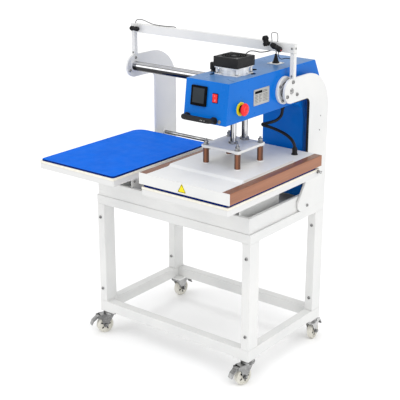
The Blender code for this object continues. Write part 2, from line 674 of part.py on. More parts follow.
def make_slide_bearing():
    """A sleeve on the guide shaft with a bolted flange on each side of the arm."""
    left = HEAD_X - ARM_WIDTH / 2 - GAP
    right = HEAD_X + ARM_WIDTH / 2 + GAP
    bore = SHAFT_RADIUS + GAP
    far_left = left - BEARING_FLANGE_THICKNESS
    far_right = right + BEARING_FLANGE_THICKNESS
    length = far_right - far_left
    profile = [
        (bore, length), (BEARING_FLANGE_RADIUS - 0.002, length), (BEARING_FLANGE_RADIUS, length - 0.002),
        (BEARING_FLANGE_RADIUS, right - far_left), (BEARING_SLEEVE_RADIUS, right - far_left),
        (BEARING_SLEEVE_RADIUS, left - far_left), (BEARING_FLANGE_RADIUS, left - far_left),
        (BEARING_FLANGE_RADIUS, 0.002), (BEARING_FLANGE_RADIUS - 0.002, 0), (bore, 0), (bore, length),
    ]
    return turned("slide_bearing", profile, (far_left, SHAFT_Y, SHAFT_Z), (1, 0, 0), "white_paint", 48)


def make_actuator():
    """Barrel through the top of the arm, with a square flange, tie rods and an open bore for the piston."""
    barrel = rod("actuator", (HEAD_X, PRESS_Y, ACTUATOR_BOTTOM), (HEAD_X, PRESS_Y, ACTUATOR_TOP), ACTUATOR_RADIUS,
                 "machined_alloy", 48)
    half = ACTUATOR_FLANGE_SIZE / 2
    flange_bottom = ARM_TOP + GAP
    flange = block("actuator_flange", (HEAD_X - half, PRESS_Y - half, flange_bottom),
                   (HEAD_X + half, PRESS_Y + half, flange_bottom + 0.004))
    ties = []
    for side_x in (-1, 1):
        for side_y in (-1, 1):
            x = HEAD_X + side_x * TIE_ROD_OFFSET
            y = PRESS_Y + side_y * TIE_ROD_OFFSET
            ties.append(rod("tie_rod", (x, y, flange_bottom + 0.002), (x, y, ACTUATOR_TOP), 0.004, None, 12))
    cap = block("actuator_cap", (HEAD_X - half, PRESS_Y - half, ACTUATOR_TOP - 0.004),
                (HEAD_X + half, PRESS_Y + half, ACTUATOR_TOP))
    join(barrel, flange, *ties, cap)
    bore = rod("actuator_bore", (HEAD_X, PRESS_Y, ACTUATOR_BOTTOM + 0.010), (HEAD_X, PRESS_Y, ACTUATOR_TOP - 0.003),
               ACTUATOR_BORE, None, 32)
    rod_hole = rod("actuator_rod_hole", (HEAD_X, PRESS_Y, ACTUATOR_BOTTOM - 0.010),
                   (HEAD_X, PRESS_Y, ACTUATOR_BOTTOM + 0.020), PISTON_ROD_RADIUS + GAP, None, 24)
    cut(barrel, bore, rod_hole)
    return barrel


def make_fan():
    half = FAN_HOUSING_SIZE / 2
    bottom = ACTUATOR_TOP + GAP
    housing = block("fan_housing", (HEAD_X - half, PRESS_Y - half, bottom),
                    (HEAD_X + half, PRESS_Y + half, FAN_HOUSING_TOP), "black_plastic", 0.0015)
    opening = rod("fan_opening", (HEAD_X, PRESS_Y, bottom + 0.006), (HEAD_X, PRESS_Y, FAN_HOUSING_TOP + 0.01),
                  FAN_OPENING_RADIUS, None, 36)
    cut(housing, opening)
    floor = bottom + 0.006 + 0.001
    hub_top = FAN_HOUSING_TOP - 0.006
    hub = rod("fan_rotor", (HEAD_X, PRESS_Y, floor), (HEAD_X, PRESS_Y, hub_top), 0.017, "black_plastic", 24)
    blades = []
    blade_count = 7
    for index in range(blade_count):
        bm = bmesh.new()
        bmesh.ops.create_cube(bm, size=1.0)
        bmesh.ops.scale(bm, vec=(0.031, 0.0016, 0.024), verts=bm.verts)
        blade = add_object("fan_blade", mesh_from(bm, "fan_blade"), None)
        turn = Matrix.Rotation(2 * math.pi * index / blade_count, 4, "Z")
        pitch = Matrix.Rotation(math.radians(42), 4, "X")
        blade.matrix_world = (Matrix.Translation((HEAD_X, PRESS_Y, (floor + hub_top) / 2)) @ turn
                              @ Matrix.Translation((0.0305, 0, 0)) @ pitch)
        blades.append(blade)
    join(hub, *blades)
    return housing, hub


def make_front_handle():
    """Bow handle on the front of the arm."""
    left = 0.190
    right = 0.313
    height = 1.108
    face = ARM_FRONT - GAP
    reach = face - 0.033
    corner = 0.014
    path = [(left, face, height), (left, face - 0.006, height), (left, reach + corner, height)]
    for step in range(1, 5):
        angle = math.radians(90 * step / 5)
        path.append((left + corner * (1 - math.cos(angle)), reach + corner * (1 - math.sin(angle)), height))
    path += [(left + corner, reach, height)]
    path += [(left + right - x, y, z) for x, y, z in reversed(path)]
    return on_arm_front(tube("front_handle", path, 0.0105, "black_plastic", 3), height)


def make_stop_button():
    """Emergency stop: a yellow collar on the arm's side and a red mushroom button that pushes in."""
    face = HEAD_X + ARM_WIDTH / 2 + GAP
    collar = [(0.0125, 0.005), (0.0245, 0.005), (0.0255, 0.004), (0.0255, 0), (0.0125, 0), (0.0125, 0.005)]
    ring = turned("stop_collar", collar, (face, STOP_Y, STOP_Z), (1, 0, 0), "stop_yellow", 32)
    mushroom = [(0, 0.029), (0.009, 0.0285), (0.016, 0.027), (0.021, 0.0240), (0.0235, 0.0200), (0.0235, 0.0170),
                (0.021, 0.0145), (0.0115, 0.0135), (0.0115, -0.012), (0, -0.012)]
    button = turned("stop_button", mushroom, (face, STOP_Y, STOP_Z), (1, 0, 0), "stop_red", 32)
    return ring, button


def make_controls():
    face = ARM_FRONT - GAP
    screen = on_arm_front(block("touch_screen", (0.203, face - 0.007, 1.1510), (0.2725, face, 1.2245),
                                "black_plastic", 0.0015), 1.188)
    rocker = on_arm_front(block("power_rocker", (ROCKER_X - 0.0105, ARM_FRONT - 0.0055, ROCKER_Z - 0.0150),
                                (ROCKER_X + 0.0105, ARM_FRONT + 0.006, ROCKER_Z + 0.0150), "stop_red", 0.0015,
                                origin=(ROCKER_X, ARM_FRONT + 0.0015, ROCKER_Z)), ROCKER_Z)
    knob_profile = [(0, 0.036), (0.0105, 0.036), (0.0125, 0.034), (0.0125, 0.010), (0.0085, 0.009), (0.0085, 0),
                    (0, 0)]
    knob = turned("pressure_knob", knob_profile, (0.187, -0.225, ARM_TOP + GAP), (0, 0, 1), "black_plastic", 24)
    gland_profile = [(0, 0.0380), (0.0040, 0.0380), (0.0050, 0.0360), (0.0120, 0.0080), (0.0140, 0.0070), (0.0140, 0),
                     (0, 0)]
    gland = turned("cable_gland", gland_profile, (0.2860, 0.0480, ARM_TOP + GAP), (0, 0, 1), "black_plastic", 24)
    return [screen, rocker, knob, gland]


# ------------------------------------------------------------------ press
def make_platen():
    """Heating plate, sheet cover with a raised middle, and the insulating strips along both sides."""
    front = PRESS_Y - COVER_DEPTH / 2
    rear = PRESS_Y + COVER_DEPTH / 2
    inner = COVER_WIDTH / 2 - STRIP_WIDTH
    heater = block("heating_plate", (HEAD_X - inner + 0.004, front + 0.008, PAD_TOP + GAP),
                   (HEAD_X + inner - 0.004, rear - 0.008, HEATING_PLATE_TOP), "heater_alloy", 0.001)
    cover = block("platen_cover", (HEAD_X - inner, front, HEATING_PLATE_TOP + GAP), (HEAD_X + inner, rear, COVER_TOP),
                  "white_paint")
    front_sheet = block("cover_front", (HEAD_X - COVER_WIDTH / 2, front - 0.0002, COVER_BOTTOM),
                        (HEAD_X + COVER_WIDTH / 2, front + SHEET, COVER_TOP))
    rear_sheet = block("cover_rear", (HEAD_X - inner + 0.0002, rear - SHEET, COVER_BOTTOM),
                       (HEAD_X + inner - 0.0002, rear + 0.0002, COVER_TOP - 0.0002))
    raised = plate("cover_raised", [(-0.384, COVER_TOP - 0.002), (-0.036, COVER_TOP - 0.002), (-0.036, COVER_TOP),
                                    (-0.048, COVER_RAISED_TOP), (-0.372, COVER_RAISED_TOP), (-0.384, COVER_TOP)],
                   2 * inner - 0.004, (HEAD_X, 0, 0), OUTLINE_IN_YZ)
    join(cover, front_sheet, rear_sheet, raised)
    strips = []
    for side, name in ((-1, "left"), (1, "right")):
        outer_x = HEAD_X + side * COVER_WIDTH / 2
        inner_x = HEAD_X + side * (inner + GAP)
        strips.append(block("side_strip_" + name,
                            (min(outer_x, inner_x), front + SHEET + GAP, COVER_BOTTOM),
                            (max(outer_x, inner_x), rear, COVER_TOP), "strip_brown", 0.0015))
    return [heater, cover] + strips


def make_press_plate():
    plate_top = plate("press_plate", rounded_rectangle(PRESS_PLATE_SIZE, PRESS_PLATE_SIZE, 0.006),
                      PRESS_PLATE_TOP - PRESS_PLATE_BOTTOM,
                      (HEAD_X, PRESS_Y, (PRESS_PLATE_TOP + PRESS_PLATE_BOTTOM) / 2), OUTLINE_IN_XY, "white_paint",
                      0.001)
    pieces = [plate_top]
    for side_x, side_y, corner in corners():
        x = HEAD_X + side_x * SPACER_OFFSET
        y = PRESS_Y + side_y * SPACER_OFFSET
        pieces.append(smooth(rod("spacer_" + corner, (x, y, COVER_RAISED_TOP + GAP), (x, y, PRESS_PLATE_BOTTOM - GAP),
                                 SPACER_RADIUS, "strip_brown", 24)))
    return pieces


def make_rods():
    bottom = PRESS_PLATE_TOP + GAP
    piston = [(0, 1.186 - bottom), (0.0285, 1.186 - bottom), (0.0285, 1.174 - bottom),
              (PISTON_ROD_RADIUS, 1.174 - bottom), (PISTON_ROD_RADIUS, 0), (0, 0)]
    rod_part = turned("piston_rod", piston, (HEAD_X, PRESS_Y, bottom), (0, 0, 1), "chrome", 32)
    y = PRESS_Y + GUIDE_COLUMN_OFFSET
    column = smooth(rod("guide_column", (HEAD_X, y, bottom), (HEAD_X, y, GUIDE_COLUMN_TOP), PISTON_ROD_RADIUS,
                        "chrome", 32))
    return [rod_part, column]


def make_head():
    head = [make_arm_housing(), make_slide_bearing(), make_actuator(), make_front_handle()]
    head += list(make_fan()) + list(make_stop_button()) + make_controls()
    joint_empty("head_slide_axis", (HEAD_X, SHAFT_Y, SHAFT_Z), head)
    press = make_platen() + make_press_plate() + make_rods()
    joint_empty("press_slide_axis", (HEAD_X, PRESS_Y, PRESS_PLATE_TOP), press)


# ------------------------------------------------------------------ origin
def put_origin_under_middle():
    """Moves the whole model so that its origin is on the floor under the middle of its overall box."""
    bpy.context.view_layer.update()
    graph = bpy.context.evaluated_depsgraph_get()
    low = Vector((1e9, 1e9, 1e9))
    high = -low
    for part in PARTS.objects:
        if part.type == "EMPTY":
            continue
        evaluated = part.evaluated_get(graph)
        mesh = evaluated.to_mesh()
        for vertex in mesh.vertices:
            place = evaluated.matrix_world @ vertex.co
            low = Vector(map(min, low, place))
            high = Vector(map(max, high, place))
        evaluated.to_mesh_clear()
    shift = Matrix.Translation((-(low.x + high.x) / 2, -(low.y + high.y) / 2, -low.z))
    for part in list(PARTS.objects) + list(CUTTERS.objects):
        if part.parent is None:
            part.matrix_world = shift @ part.matrix_world


make_stand()
make_base_tray()
make_casters()
make_machine_frame()
make_lasers()
make_leads()
make_stations()
make_head()
put_origin_under_middle()
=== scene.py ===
"""Looks of the twin-station heat press: materials, fittings, leads, studio and camera.

Positions are in metres around the middle of the stand on the floor (X right, Y rear, Z up). MIDDLE, read from
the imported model, moves them into its frame.
"""
import json
import math

import bmesh
import bpy
from mathutils import Matrix, Vector


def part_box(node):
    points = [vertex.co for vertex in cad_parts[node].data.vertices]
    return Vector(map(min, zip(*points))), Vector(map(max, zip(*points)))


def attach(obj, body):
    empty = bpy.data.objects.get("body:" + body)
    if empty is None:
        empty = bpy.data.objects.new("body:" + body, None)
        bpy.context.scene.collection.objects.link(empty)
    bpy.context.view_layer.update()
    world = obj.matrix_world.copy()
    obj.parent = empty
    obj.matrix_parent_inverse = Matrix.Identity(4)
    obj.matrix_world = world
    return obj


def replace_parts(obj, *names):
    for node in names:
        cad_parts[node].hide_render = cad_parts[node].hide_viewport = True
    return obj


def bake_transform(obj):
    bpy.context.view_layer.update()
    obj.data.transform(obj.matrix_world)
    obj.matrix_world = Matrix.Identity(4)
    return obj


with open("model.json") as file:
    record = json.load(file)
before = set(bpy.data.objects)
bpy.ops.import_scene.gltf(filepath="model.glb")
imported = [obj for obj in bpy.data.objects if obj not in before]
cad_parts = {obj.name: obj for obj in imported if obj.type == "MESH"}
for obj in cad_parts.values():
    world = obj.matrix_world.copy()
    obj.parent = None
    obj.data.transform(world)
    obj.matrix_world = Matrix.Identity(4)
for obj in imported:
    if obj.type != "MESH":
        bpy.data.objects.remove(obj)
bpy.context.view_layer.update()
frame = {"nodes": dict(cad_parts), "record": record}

# ------------------------------------------------------------------ places
ring_low, ring_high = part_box("top_frame")
MIDDLE = Vector(((ring_low[0] + ring_high[0]) / 2, (ring_low[1] + ring_high[1]) / 2, 0.0))
TO_FRAME = Matrix.Translation(MIDDLE)


def low_high(node):
    """A node's corners, counted from the middle of the stand."""
    low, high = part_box(node)
    return Vector(low) - MIDDLE, Vector(high) - MIDDLE


ARM_LOW, ARM_HIGH = low_high("arm_housing")
HEAD_X = (ARM_LOW.x + ARM_HIGH.x) / 2
ARM_TOP = ARM_HIGH.z
ARM_BOTTOM = 1.093
ARM_FRONT_FOOT = ARM_LOW.y      # bottom edge of the leaning front
ARM_FRONT = ARM_LOW.y + 0.020   # its top edge
LEAN = math.atan2(ARM_FRONT - ARM_FRONT_FOOT, ARM_TOP - ARM_BOTTOM)
PRESS_Y = sum(v.y for v in low_high("press_plate")) / 2
SHAFT_Y = sum(v.y for v in low_high("guide_shaft")) / 2
SHAFT_Z = sum(v.z for v in low_high("guide_shaft")) / 2
STATIONS = {"left": sum(v.x for v in low_high("lower_board_left")) / 2, "right": HEAD_X}
RAISED = 0.0004                 # how far a fitting stands off the face it sits on
UP = Vector((0, 0, 1))
LOW_RAIL_TOP = 0.1558
LEG_TOP = 0.6097
LEG_BOLT_HEIGHTS = (0.548, 0.215)
AXLE_REACH = 0.026              # wheel axle behind the swivel axis
AXLE_Z = 0.0375
SIDE_FACE = 0.404               # outer face of a side plate, from the middle
SIDE_INNER = 0.3938
ROD_Y, ROD_Z = 0.180, 0.830     # rear guide rod
BEAM_Y, BEAM_Z = -0.006, 1.32565
GLAND_X, GLAND_Y = 0.286, 0.048
FOOT_PLATE = 0.0022             # thickness of the gland's foot plate
TIE_ROD_OFFSET = 0.0455         # from the press's axis, in X and in Y
SPACER_OFFSET = 0.074
SPACER_FOOT_Z = 0.9031


def on_front(x, z, out=0.0):
    """A place on the arm's leaning front: X stays, Y runs up the face and Z out of it."""
    y = ARM_FRONT + (ARM_FRONT_FOOT - ARM_FRONT) * (ARM_TOP - z) / (ARM_TOP - ARM_BOTTOM)
    turn = Matrix.Rotation(math.pi / 2 - LEAN, 4, "X")
    return Matrix.Translation((x, y, z)) @ turn @ Matrix.Translation((0, 0, out))


# ------------------------------------------------------------------ materials


class Shading:
    """Builds one procedural material."""

    def __init__(self, name, colour, roughness, metallic=0.0):
        self.material = bpy.data.materials.new(name)
        self.material.use_nodes = True
        self.tree = self.material.node_tree
        self.shader = self.tree.nodes["Principled BSDF"]
        self.shader.inputs["Base Color"].default_value = (*colour, 1.0)
        self.shader.inputs["Roughness"].default_value = roughness
        self.shader.inputs["Metallic"].default_value = metallic
        self.material.diffuse_color = (*colour, 1.0)
        self.colour = colour
        self.roughness = roughness
        self.place = self.tree.nodes.new("ShaderNodeTexCoord").outputs["Object"]

    def link(self, source, target):
        self.tree.links.new(source, target)

    def stretched(self, scale):
        mapping = self.tree.nodes.new("ShaderNodeMapping")
        mapping.inputs["Scale"].default_value = scale
        self.link(self.place, mapping.inputs["Vector"])
        return mapping.outputs["Vector"]

    def noise(self, scale, detail=2.0, stretch=(1, 1, 1), distortion=0.0):
        noise = self.tree.nodes.new("ShaderNodeTexNoise")
        noise.inputs["Scale"].default_value = scale
        noise.inputs["Detail"].default_value = detail
        noise.inputs["Distortion"].default_value = distortion
        self.link(self.stretched(stretch), noise.inputs["Vector"])
        return noise.outputs["Fac"]

    def cells(self, scale, stretch=(1, 1, 1)):
        cells = self.tree.nodes.new("ShaderNodeTexVoronoi")
        cells.inputs["Scale"].default_value = scale
        self.link(self.stretched(stretch), cells.inputs["Vector"])
        return cells.outputs["Distance"]

    def waves(self, scale, direction, stretch=(1, 1, 1), distortion=0.0):
        waves = self.tree.nodes.new("ShaderNodeTexWave")
        waves.bands_direction = direction
        waves.inputs["Scale"].default_value = scale
        waves.inputs["Distortion"].default_value = distortion
        self.link(self.stretched(stretch), waves.inputs["Vector"])
        return waves.outputs["Fac"]

    def ranged(self, factor, low, high, start=0.3, stop=0.7):
        spread = self.tree.nodes.new("ShaderNodeMapRange")
        spread.inputs["From Min"].default_value = start
        spread.inputs["From Max"].default_value = stop
        spread.inputs["To Min"].default_value = low
        spread.inputs["To Max"].default_value = high
        self.link(factor, spread.inputs["Value"])
        return spread.outputs["Result"]

    def mixed_in(self):
        """Puts a mix node between the colour so far and the shader."""
        mix = self.tree.nodes.new("ShaderNodeMix")
        mix.data_type = "RGBA"
        socket = self.shader.inputs["Base Color"]
        if socket.is_linked:
            self.link(socket.links[0].from_socket, mix.inputs["A"])
        else:
            mix.inputs["A"].default_value = (*self.colour, 1.0)
        self.link(mix.outputs["Result"], socket)
        return mix

    def tinted(self, factor, tint, start=0.35, stop=0.65):
        """Mixes a second colour over the first where the factor is high."""
        mix = self.mixed_in()
        mix.inputs["B"].default_value = (*tint, 1.0)
        self.link(self.ranged(factor, 0.0, 1.0, start, stop), mix.inputs["Factor"])
        return self

    def paint_reflection_bands(self, direction, bands):
        """Paints reflections and shade as soft bands over the colour, by how far the surface turns towards a
        direction, from -1 to 1.
        """
        turned = self.tree.nodes.new("ShaderNodeVectorMath")
        turned.operation = "DOT_PRODUCT"
        turned.inputs[1].default_value = Vector(direction).normalized()
        self.link(self.tree.nodes.new("ShaderNodeTexCoord").outputs["Normal"], turned.inputs[0])
        ramp = self.tree.nodes.new("ShaderNodeValToRGB")
        elements = ramp.color_ramp.elements
        while len(elements) < len(bands):
            elements.new(0.5)
        for element, (turn, grey) in zip(elements, bands):
            element.position = (turn + 1) / 2
            element.color = (grey, grey, grey * 1.01, 1.0)
        self.link(self.ranged(turned.outputs["Value"], 0.0, 1.0, -1.0, 1.0), ramp.inputs["Fac"])
        mix = self.mixed_in()
        mix.blend_type = "MULTIPLY"
        mix.inputs["Factor"].default_value = 1.0
        self.link(ramp.outputs["Color"], mix.inputs["B"])
        return self

    def painted_top_shading(self, tint, start=0.7, stop=0.98):
        """Paints light and shade on faces that look up: mixes a second colour over them."""
        split = self.tree.nodes.new("ShaderNodeSeparateXYZ")
        self.link(self.tree.nodes.new("ShaderNodeTexCoord").outputs["Normal"], split.inputs["Vector"])
        return self.tinted(split.outputs["Z"], tint, start, stop)

    def painted_side_shade(self, tint):
        """Paints shade on faces that look sideways or down: mixes a second colour over them."""
        return self.painted_top_shading(tint, 0.6, 0.2)

    def varied(self, factor, low, high):
        self.link(self.ranged(factor, low, high), self.shader.inputs["Roughness"])
        return self

    def bumped(self, height, strength, distance=0.001):
        bump = self.tree.nodes.new("ShaderNodeBump")
        bump.inputs["Strength"].default_value = strength
        bump.inputs["Distance"].default_value = distance
        self.link(height, bump.inputs["Height"])
        socket = self.shader.inputs["Normal"]
        if socket.is_linked:
            self.link(socket.links[0].from_socket, bump.inputs["Normal"])
        self.link(bump.outputs["Normal"], socket)
        return self

    def softened(self, radius):
        """Rounds hard edges in the shading."""
        bevel = self.tree.nodes.new("ShaderNodeBevel")
        bevel.samples = 4
        bevel.inputs["Radius"].default_value = radius
        self.link(bevel.outputs["Normal"], self.shader.inputs["Normal"])
        return self

    def shine(self, level):
        self.shader.inputs["Specular IOR Level"].default_value = level
        return self

    def coated(self, weight, roughness):
        self.shader.inputs["Coat Weight"].default_value = weight
        self.shader.inputs["Coat Roughness"].default_value = roughness
        return self


# Painted stand-ins for reflections: the colour darkens and brightens with the way a surface faces. The bands
# are fixed to the object, but their direction and values suit the view from make_camera().
ACROSS = (0.60, 0.45, 0.66)
CHROME_BANDS = ((-1.0, 0.02), (-0.66, 0.04), (-0.38, 0.10), (-0.29, 0.72), (-0.16, 0.95), (-0.09, 0.14),
                (-0.02, 0.14), (0.06, 0.90), (0.38, 1.0), (0.55, 0.72), (0.66, 0.07), (1.0, 0.05))
ALLOY_BANDS = ((-1.0, 0.72), (-0.62, 0.70), (-0.45, 1.04), (-0.30, 0.84), (-0.10, 1.05), (0.25, 1.05),
               (0.42, 0.86),
               (0.52, 1.05), (0.66, 0.80), (1.0, 0.95))
STEEL_BANDS = ((-1.0, 0.20), (-0.55, 0.30), (-0.30, 1.10), (0.0, 1.25), (0.16, 0.42), (0.40, 0.55),
               (0.62, 1.25),
               (1.0, 0.70))
SPACER_BANDS = ((-1.0, 0.20), (-0.62, 0.30), (-0.40, 0.75), (-0.12, 1.35), (0.10, 0.95), (0.22, 0.55),
                (0.60, 0.45),
                (1.0, 0.30))


def make_materials():
    made = {}
    white = Shading("white_powder_coat", (0.745, 0.745, 0.733), 0.4).softened(0.0012)
    white.tinted(white.noise(6, 3), (0.70, 0.705, 0.70))
    white.varied(white.noise(35, 3), 0.34, 0.5)
    white.bumped(white.noise(900, 2), 0.05, 0.0004)
    made["white_paint"] = white

    blue = Shading("blue_gloss_paint", (0.001, 0.155, 0.61), 0.33).softened(0.0035).shine(0.08)
    blue.tinted(blue.noise(5, 3), (0.001, 0.140, 0.56))
    blue.varied(blue.noise(30, 3), 0.26, 0.36)
    blue.bumped(blue.noise(700, 2), 0.04, 0.0004)
    # painted reflection: a paler grey-blue on the faces that look up
    blue.painted_top_shading((0.085, 0.205, 0.43), 0.80, 0.97)
    made["blue_paint"] = blue.coated(0.12, 0.10)

    pad = Shading("blue_silicone", (0.001, 0.135, 0.70), 0.6).softened(0.001).shine(0.04)
    pad.tinted(pad.noise(9, 4), (0.001, 0.120, 0.64))
    pad.tinted(pad.noise(60, 4), (0.002, 0.145, 0.69), 0.5, 0.8)
    # painted shade: dark blue on the pad's sides
    pad.painted_side_shade((0.001, 0.016, 0.150))
    pad.varied(pad.noise(25, 4), 0.45, 0.62)
    pad.bumped(pad.cells(1400), 0.10, 0.0003)
    made["pad_silicone"] = pad

    board = Shading("board_enamel", (0.83, 0.82, 0.80), 0.38).softened(0.0012)
    board.tinted(board.noise(7, 3), (0.78, 0.77, 0.745))
    # painted shade: greyer colour on the boards' sides
    board.painted_side_shade((0.69, 0.69, 0.685))
    board.varied(board.noise(30, 2), 0.32, 0.46)
    board.bumped(board.noise(800, 2), 0.04, 0.0004)
    made["board_white"] = board

    strip = Shading("brown_laminate", (0.33, 0.130, 0.062), 0.42).softened(0.0008).shine(0.25)
    strip.tinted(strip.noise(30, 5, (1, 0.08, 1.6)), (0.27, 0.103, 0.049))
    strip.tinted(strip.noise(160, 3, (1, 0.05, 3)), (0.39, 0.165, 0.085), 0.55, 0.8)
    strip.varied(strip.noise(60, 3, (1, 0.2, 1)), 0.3, 0.45)
    strip.bumped(strip.noise(500, 3, (1, 0.08, 2)), 0.12, 0.0004)
    # painted shade: a darker colour on the strips' top faces
    strip.painted_top_shading((0.200, 0.082, 0.042))
    made["strip_brown"] = strip.coated(0.30, 0.14)

    spacer = Shading("wound_brown_spacer", (0.33, 0.130, 0.062), 0.40).softened(0.0006).shine(0.3)
    spacer.tinted(spacer.waves(150, "Z", (0.1, 0.1, 1), 1.5), (0.17, 0.060, 0.030))
    # painted highlight and shade: bands across the spacer, over its wound grain
    spacer.paint_reflection_bands(ACROSS, SPACER_BANDS)
    spacer.varied(spacer.noise(200, 2, (0.2, 0.2, 1)), 0.3, 0.5)
    made["spacer_brown"] = spacer.coated(0.2, 0.2)

    heater = Shading("coated_heater_plate", (0.28, 0.21, 0.165), 0.42, 0.55).softened(0.001)
    heater.tinted(heater.noise(18, 4), (0.22, 0.165, 0.13))
    heater.varied(heater.noise(80, 3), 0.34, 0.5)
    heater.bumped(heater.noise(600, 3), 0.06, 0.0003)
    made["heater_alloy"] = heater

    chrome = Shading("polished_chrome", (0.80, 0.80, 0.81), 0.09, 1.0)
    chrome.tinted(chrome.noise(14, 2), (0.70, 0.705, 0.72))
    chrome.varied(chrome.noise(90, 3, (0.2, 1, 1)), 0.06, 0.14)
    chrome.bumped(chrome.noise(1500, 1, (0.3, 1, 1)), 0.015, 0.0002)
    # painted reflections: dark and bright bands across the chrome
    chrome.paint_reflection_bands(ACROSS, CHROME_BANDS)
    made["chrome"] = chrome

    steel = Shading("zinc_plated_steel", (0.52, 0.52, 0.51), 0.3, 1.0).softened(0.0006)
    steel.tinted(steel.noise(40, 4), (0.36, 0.36, 0.36))
    steel.varied(steel.noise(120, 3), 0.22, 0.42)
    steel.bumped(steel.noise(900, 3), 0.06, 0.0003)
    # painted reflections: dark and bright bands across the steel
    steel.paint_reflection_bands(ACROSS, STEEL_BANDS)
    made["bright_steel"] = steel

    alloy = Shading("turned_aluminium", (0.90, 0.893, 0.875), 0.4, 0.04).softened(0.0006)
    alloy.tinted(alloy.noise(300, 2, (0.02, 0.02, 1)), (0.83, 0.825, 0.81))
    # painted reflections: dark and bright bands across the aluminium
    alloy.paint_reflection_bands(ACROSS, ALLOY_BANDS)
    alloy.varied(alloy.noise(500, 2, (0.02, 0.02, 1)), 0.34, 0.48)
    alloy.bumped(alloy.noise(1500, 1, (0.01, 0.01, 1)), 0.05, 0.0002)
    made["machined_alloy"] = alloy

    black = Shading("black_moulded_plastic", (0.008, 0.008, 0.0085), 0.45).softened(0.0008).shine(0.22)
    black.tinted(black.noise(25, 3), (0.014, 0.014, 0.015))
    black.varied(black.noise(60, 3), 0.34, 0.5)
    black.bumped(black.cells(2200), 0.12, 0.0002)
    made["black_plastic"] = black

    tread = Shading("cream_wheel_nylon", (0.74, 0.72, 0.65), 0.42).softened(0.001)
    tread.tinted(tread.noise(30, 4), (0.62, 0.60, 0.53))
    tread.tinted(tread.noise(140, 3), (0.42, 0.40, 0.36), 0.6, 0.85)
    tread.varied(tread.noise(90, 3), 0.36, 0.55)
    tread.bumped(tread.noise(700, 3), 0.08, 0.0003)
    made["wheel_cream"] = tread

    yellow = Shading("yellow_plastic", (0.87, 0.74, 0.012), 0.35).softened(0.0006).shine(0.2)
    yellow.tinted(yellow.noise(50, 3), (0.80, 0.67, 0.018))
    yellow.varied(yellow.noise(120, 2), 0.28, 0.42)
    yellow.bumped(yellow.noise(1200, 2), 0.05, 0.0002)
    made["stop_yellow"] = yellow

    red = Shading("red_plastic", (0.90, 0.022, 0.024), 0.3).softened(0.0006).shine(0.25)
    red.tinted(red.noise(60, 3), (0.74, 0.020, 0.022))
    red.varied(red.noise(110, 2), 0.22, 0.38)
    red.bumped(red.noise(1200, 2), 0.05, 0.0002)
    made["stop_red"] = red

    # Looks that only fittings have.
    print_red = Shading("faded_red_print", (0.90, 0.10, 0.10), 0.4).softened(0.0004)
    print_red.tinted(print_red.noise(80, 3), (0.80, 0.07, 0.07))
    made["faded_print"] = print_red

    cream = Shading("cream_felt_layer", (0.84, 0.81, 0.72), 0.85).softened(0.0006)
    cream.tinted(cream.noise(80, 4), (0.78, 0.75, 0.65))
    cream.bumped(cream.noise(900, 4), 0.3, 0.0005)
    made["cream_layer"] = cream

    screw = Shading("plated_screw_steel", (0.44, 0.44, 0.43), 0.28, 1.0).softened(0.0004)
    screw.tinted(screw.noise(200, 3), (0.28, 0.28, 0.28))
    screw.varied(screw.noise(300, 2), 0.2, 0.4)
    # painted reflections: dark and bright bands across the screw steel
    screw.paint_reflection_bands(ACROSS, STEEL_BANDS)
    made["screw_steel"] = screw

    # near-black: the own colour of the screen bezel, the rocker frame and printed marks, and painted shade
    # where it fills wheel pockets, pedal slots, bearing grooves and holes in the arm's top
    dark = Shading("near_black_and_recess_shade", (0.004, 0.004, 0.005), 0.8).shine(0.02)
    dark.tinted(dark.noise(90, 3), (0.008, 0.008, 0.009))
    dark.bumped(dark.noise(800, 2), 0.08, 0.0003)
    made["recess_dark"] = dark

    display = Shading("dark_display_glass", (0.026, 0.034, 0.042), 0.2).shine(0.10)
    display.tinted(display.noise(18, 2), (0.020, 0.027, 0.034))
    display.varied(display.noise(40, 2), 0.09, 0.16)
    made["display_glass"] = display.coated(0.25, 0.05)

    label = Shading("brushed_rating_plate", (0.52, 0.52, 0.50), 0.34, 0.75)
    label.tinted(label.noise(500, 3, (1, 0.03, 1)), (0.42, 0.42, 0.41))
    label.varied(label.noise(300, 2, (1, 0.05, 1)), 0.28, 0.42)
    made["rating_plate"] = label
    return made


SHADING = make_materials()
CAD_SLOTS = {entry["node"]: entry["material_slot"] for entry in frame["record"]["subparts"]}
for node_name, node_object in frame["nodes"].items():
    node_object.data.materials.clear()
    look = "spacer_brown" if node_name.startswith("spacer_") else CAD_SLOTS[node_name]
    node_object.data.materials.append(SHADING[look].material)


# ------------------------------------------------------------------ mesh helpers
SMOOTH_ANGLE = math.radians(35)     # edges sharper than this stay hard


def new_object(name, data):
    made = bpy.data.objects.new(name, data)
    bpy.context.scene.collection.objects.link(made)
    return made


def new_piece(name, bm, look, body=None, place=None):
    """Links a finished mesh with the material of the look it wears. It rides on a body, if one is given."""
    mesh = bpy.data.meshes.new(name)
    bmesh.ops.recalc_face_normals(bm, faces=bm.faces)
    bm.to_mesh(mesh)
    bm.free()
    mesh.materials.append(SHADING[look].material)
    mesh.shade_smooth()
    piece = new_object(name, mesh)
    piece.matrix_world = TO_FRAME @ (place or Matrix.Identity(4))
    if body:
        mesh.set_sharp_from_angle(angle=SMOOTH_ANGLE)
        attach(piece, body)
    return piece


def facing(direction, spin=0.0):
    """A turn that points Z along a direction."""
    turn = UP.rotation_difference(Vector(direction)).to_matrix().to_4x4()
    return turn @ Matrix.Rotation(math.radians(spin), 4, "Z")


def at(place, direction=UP, spin=0.0):
    return Matrix.Translation(Vector(place)) @ facing(direction, spin)


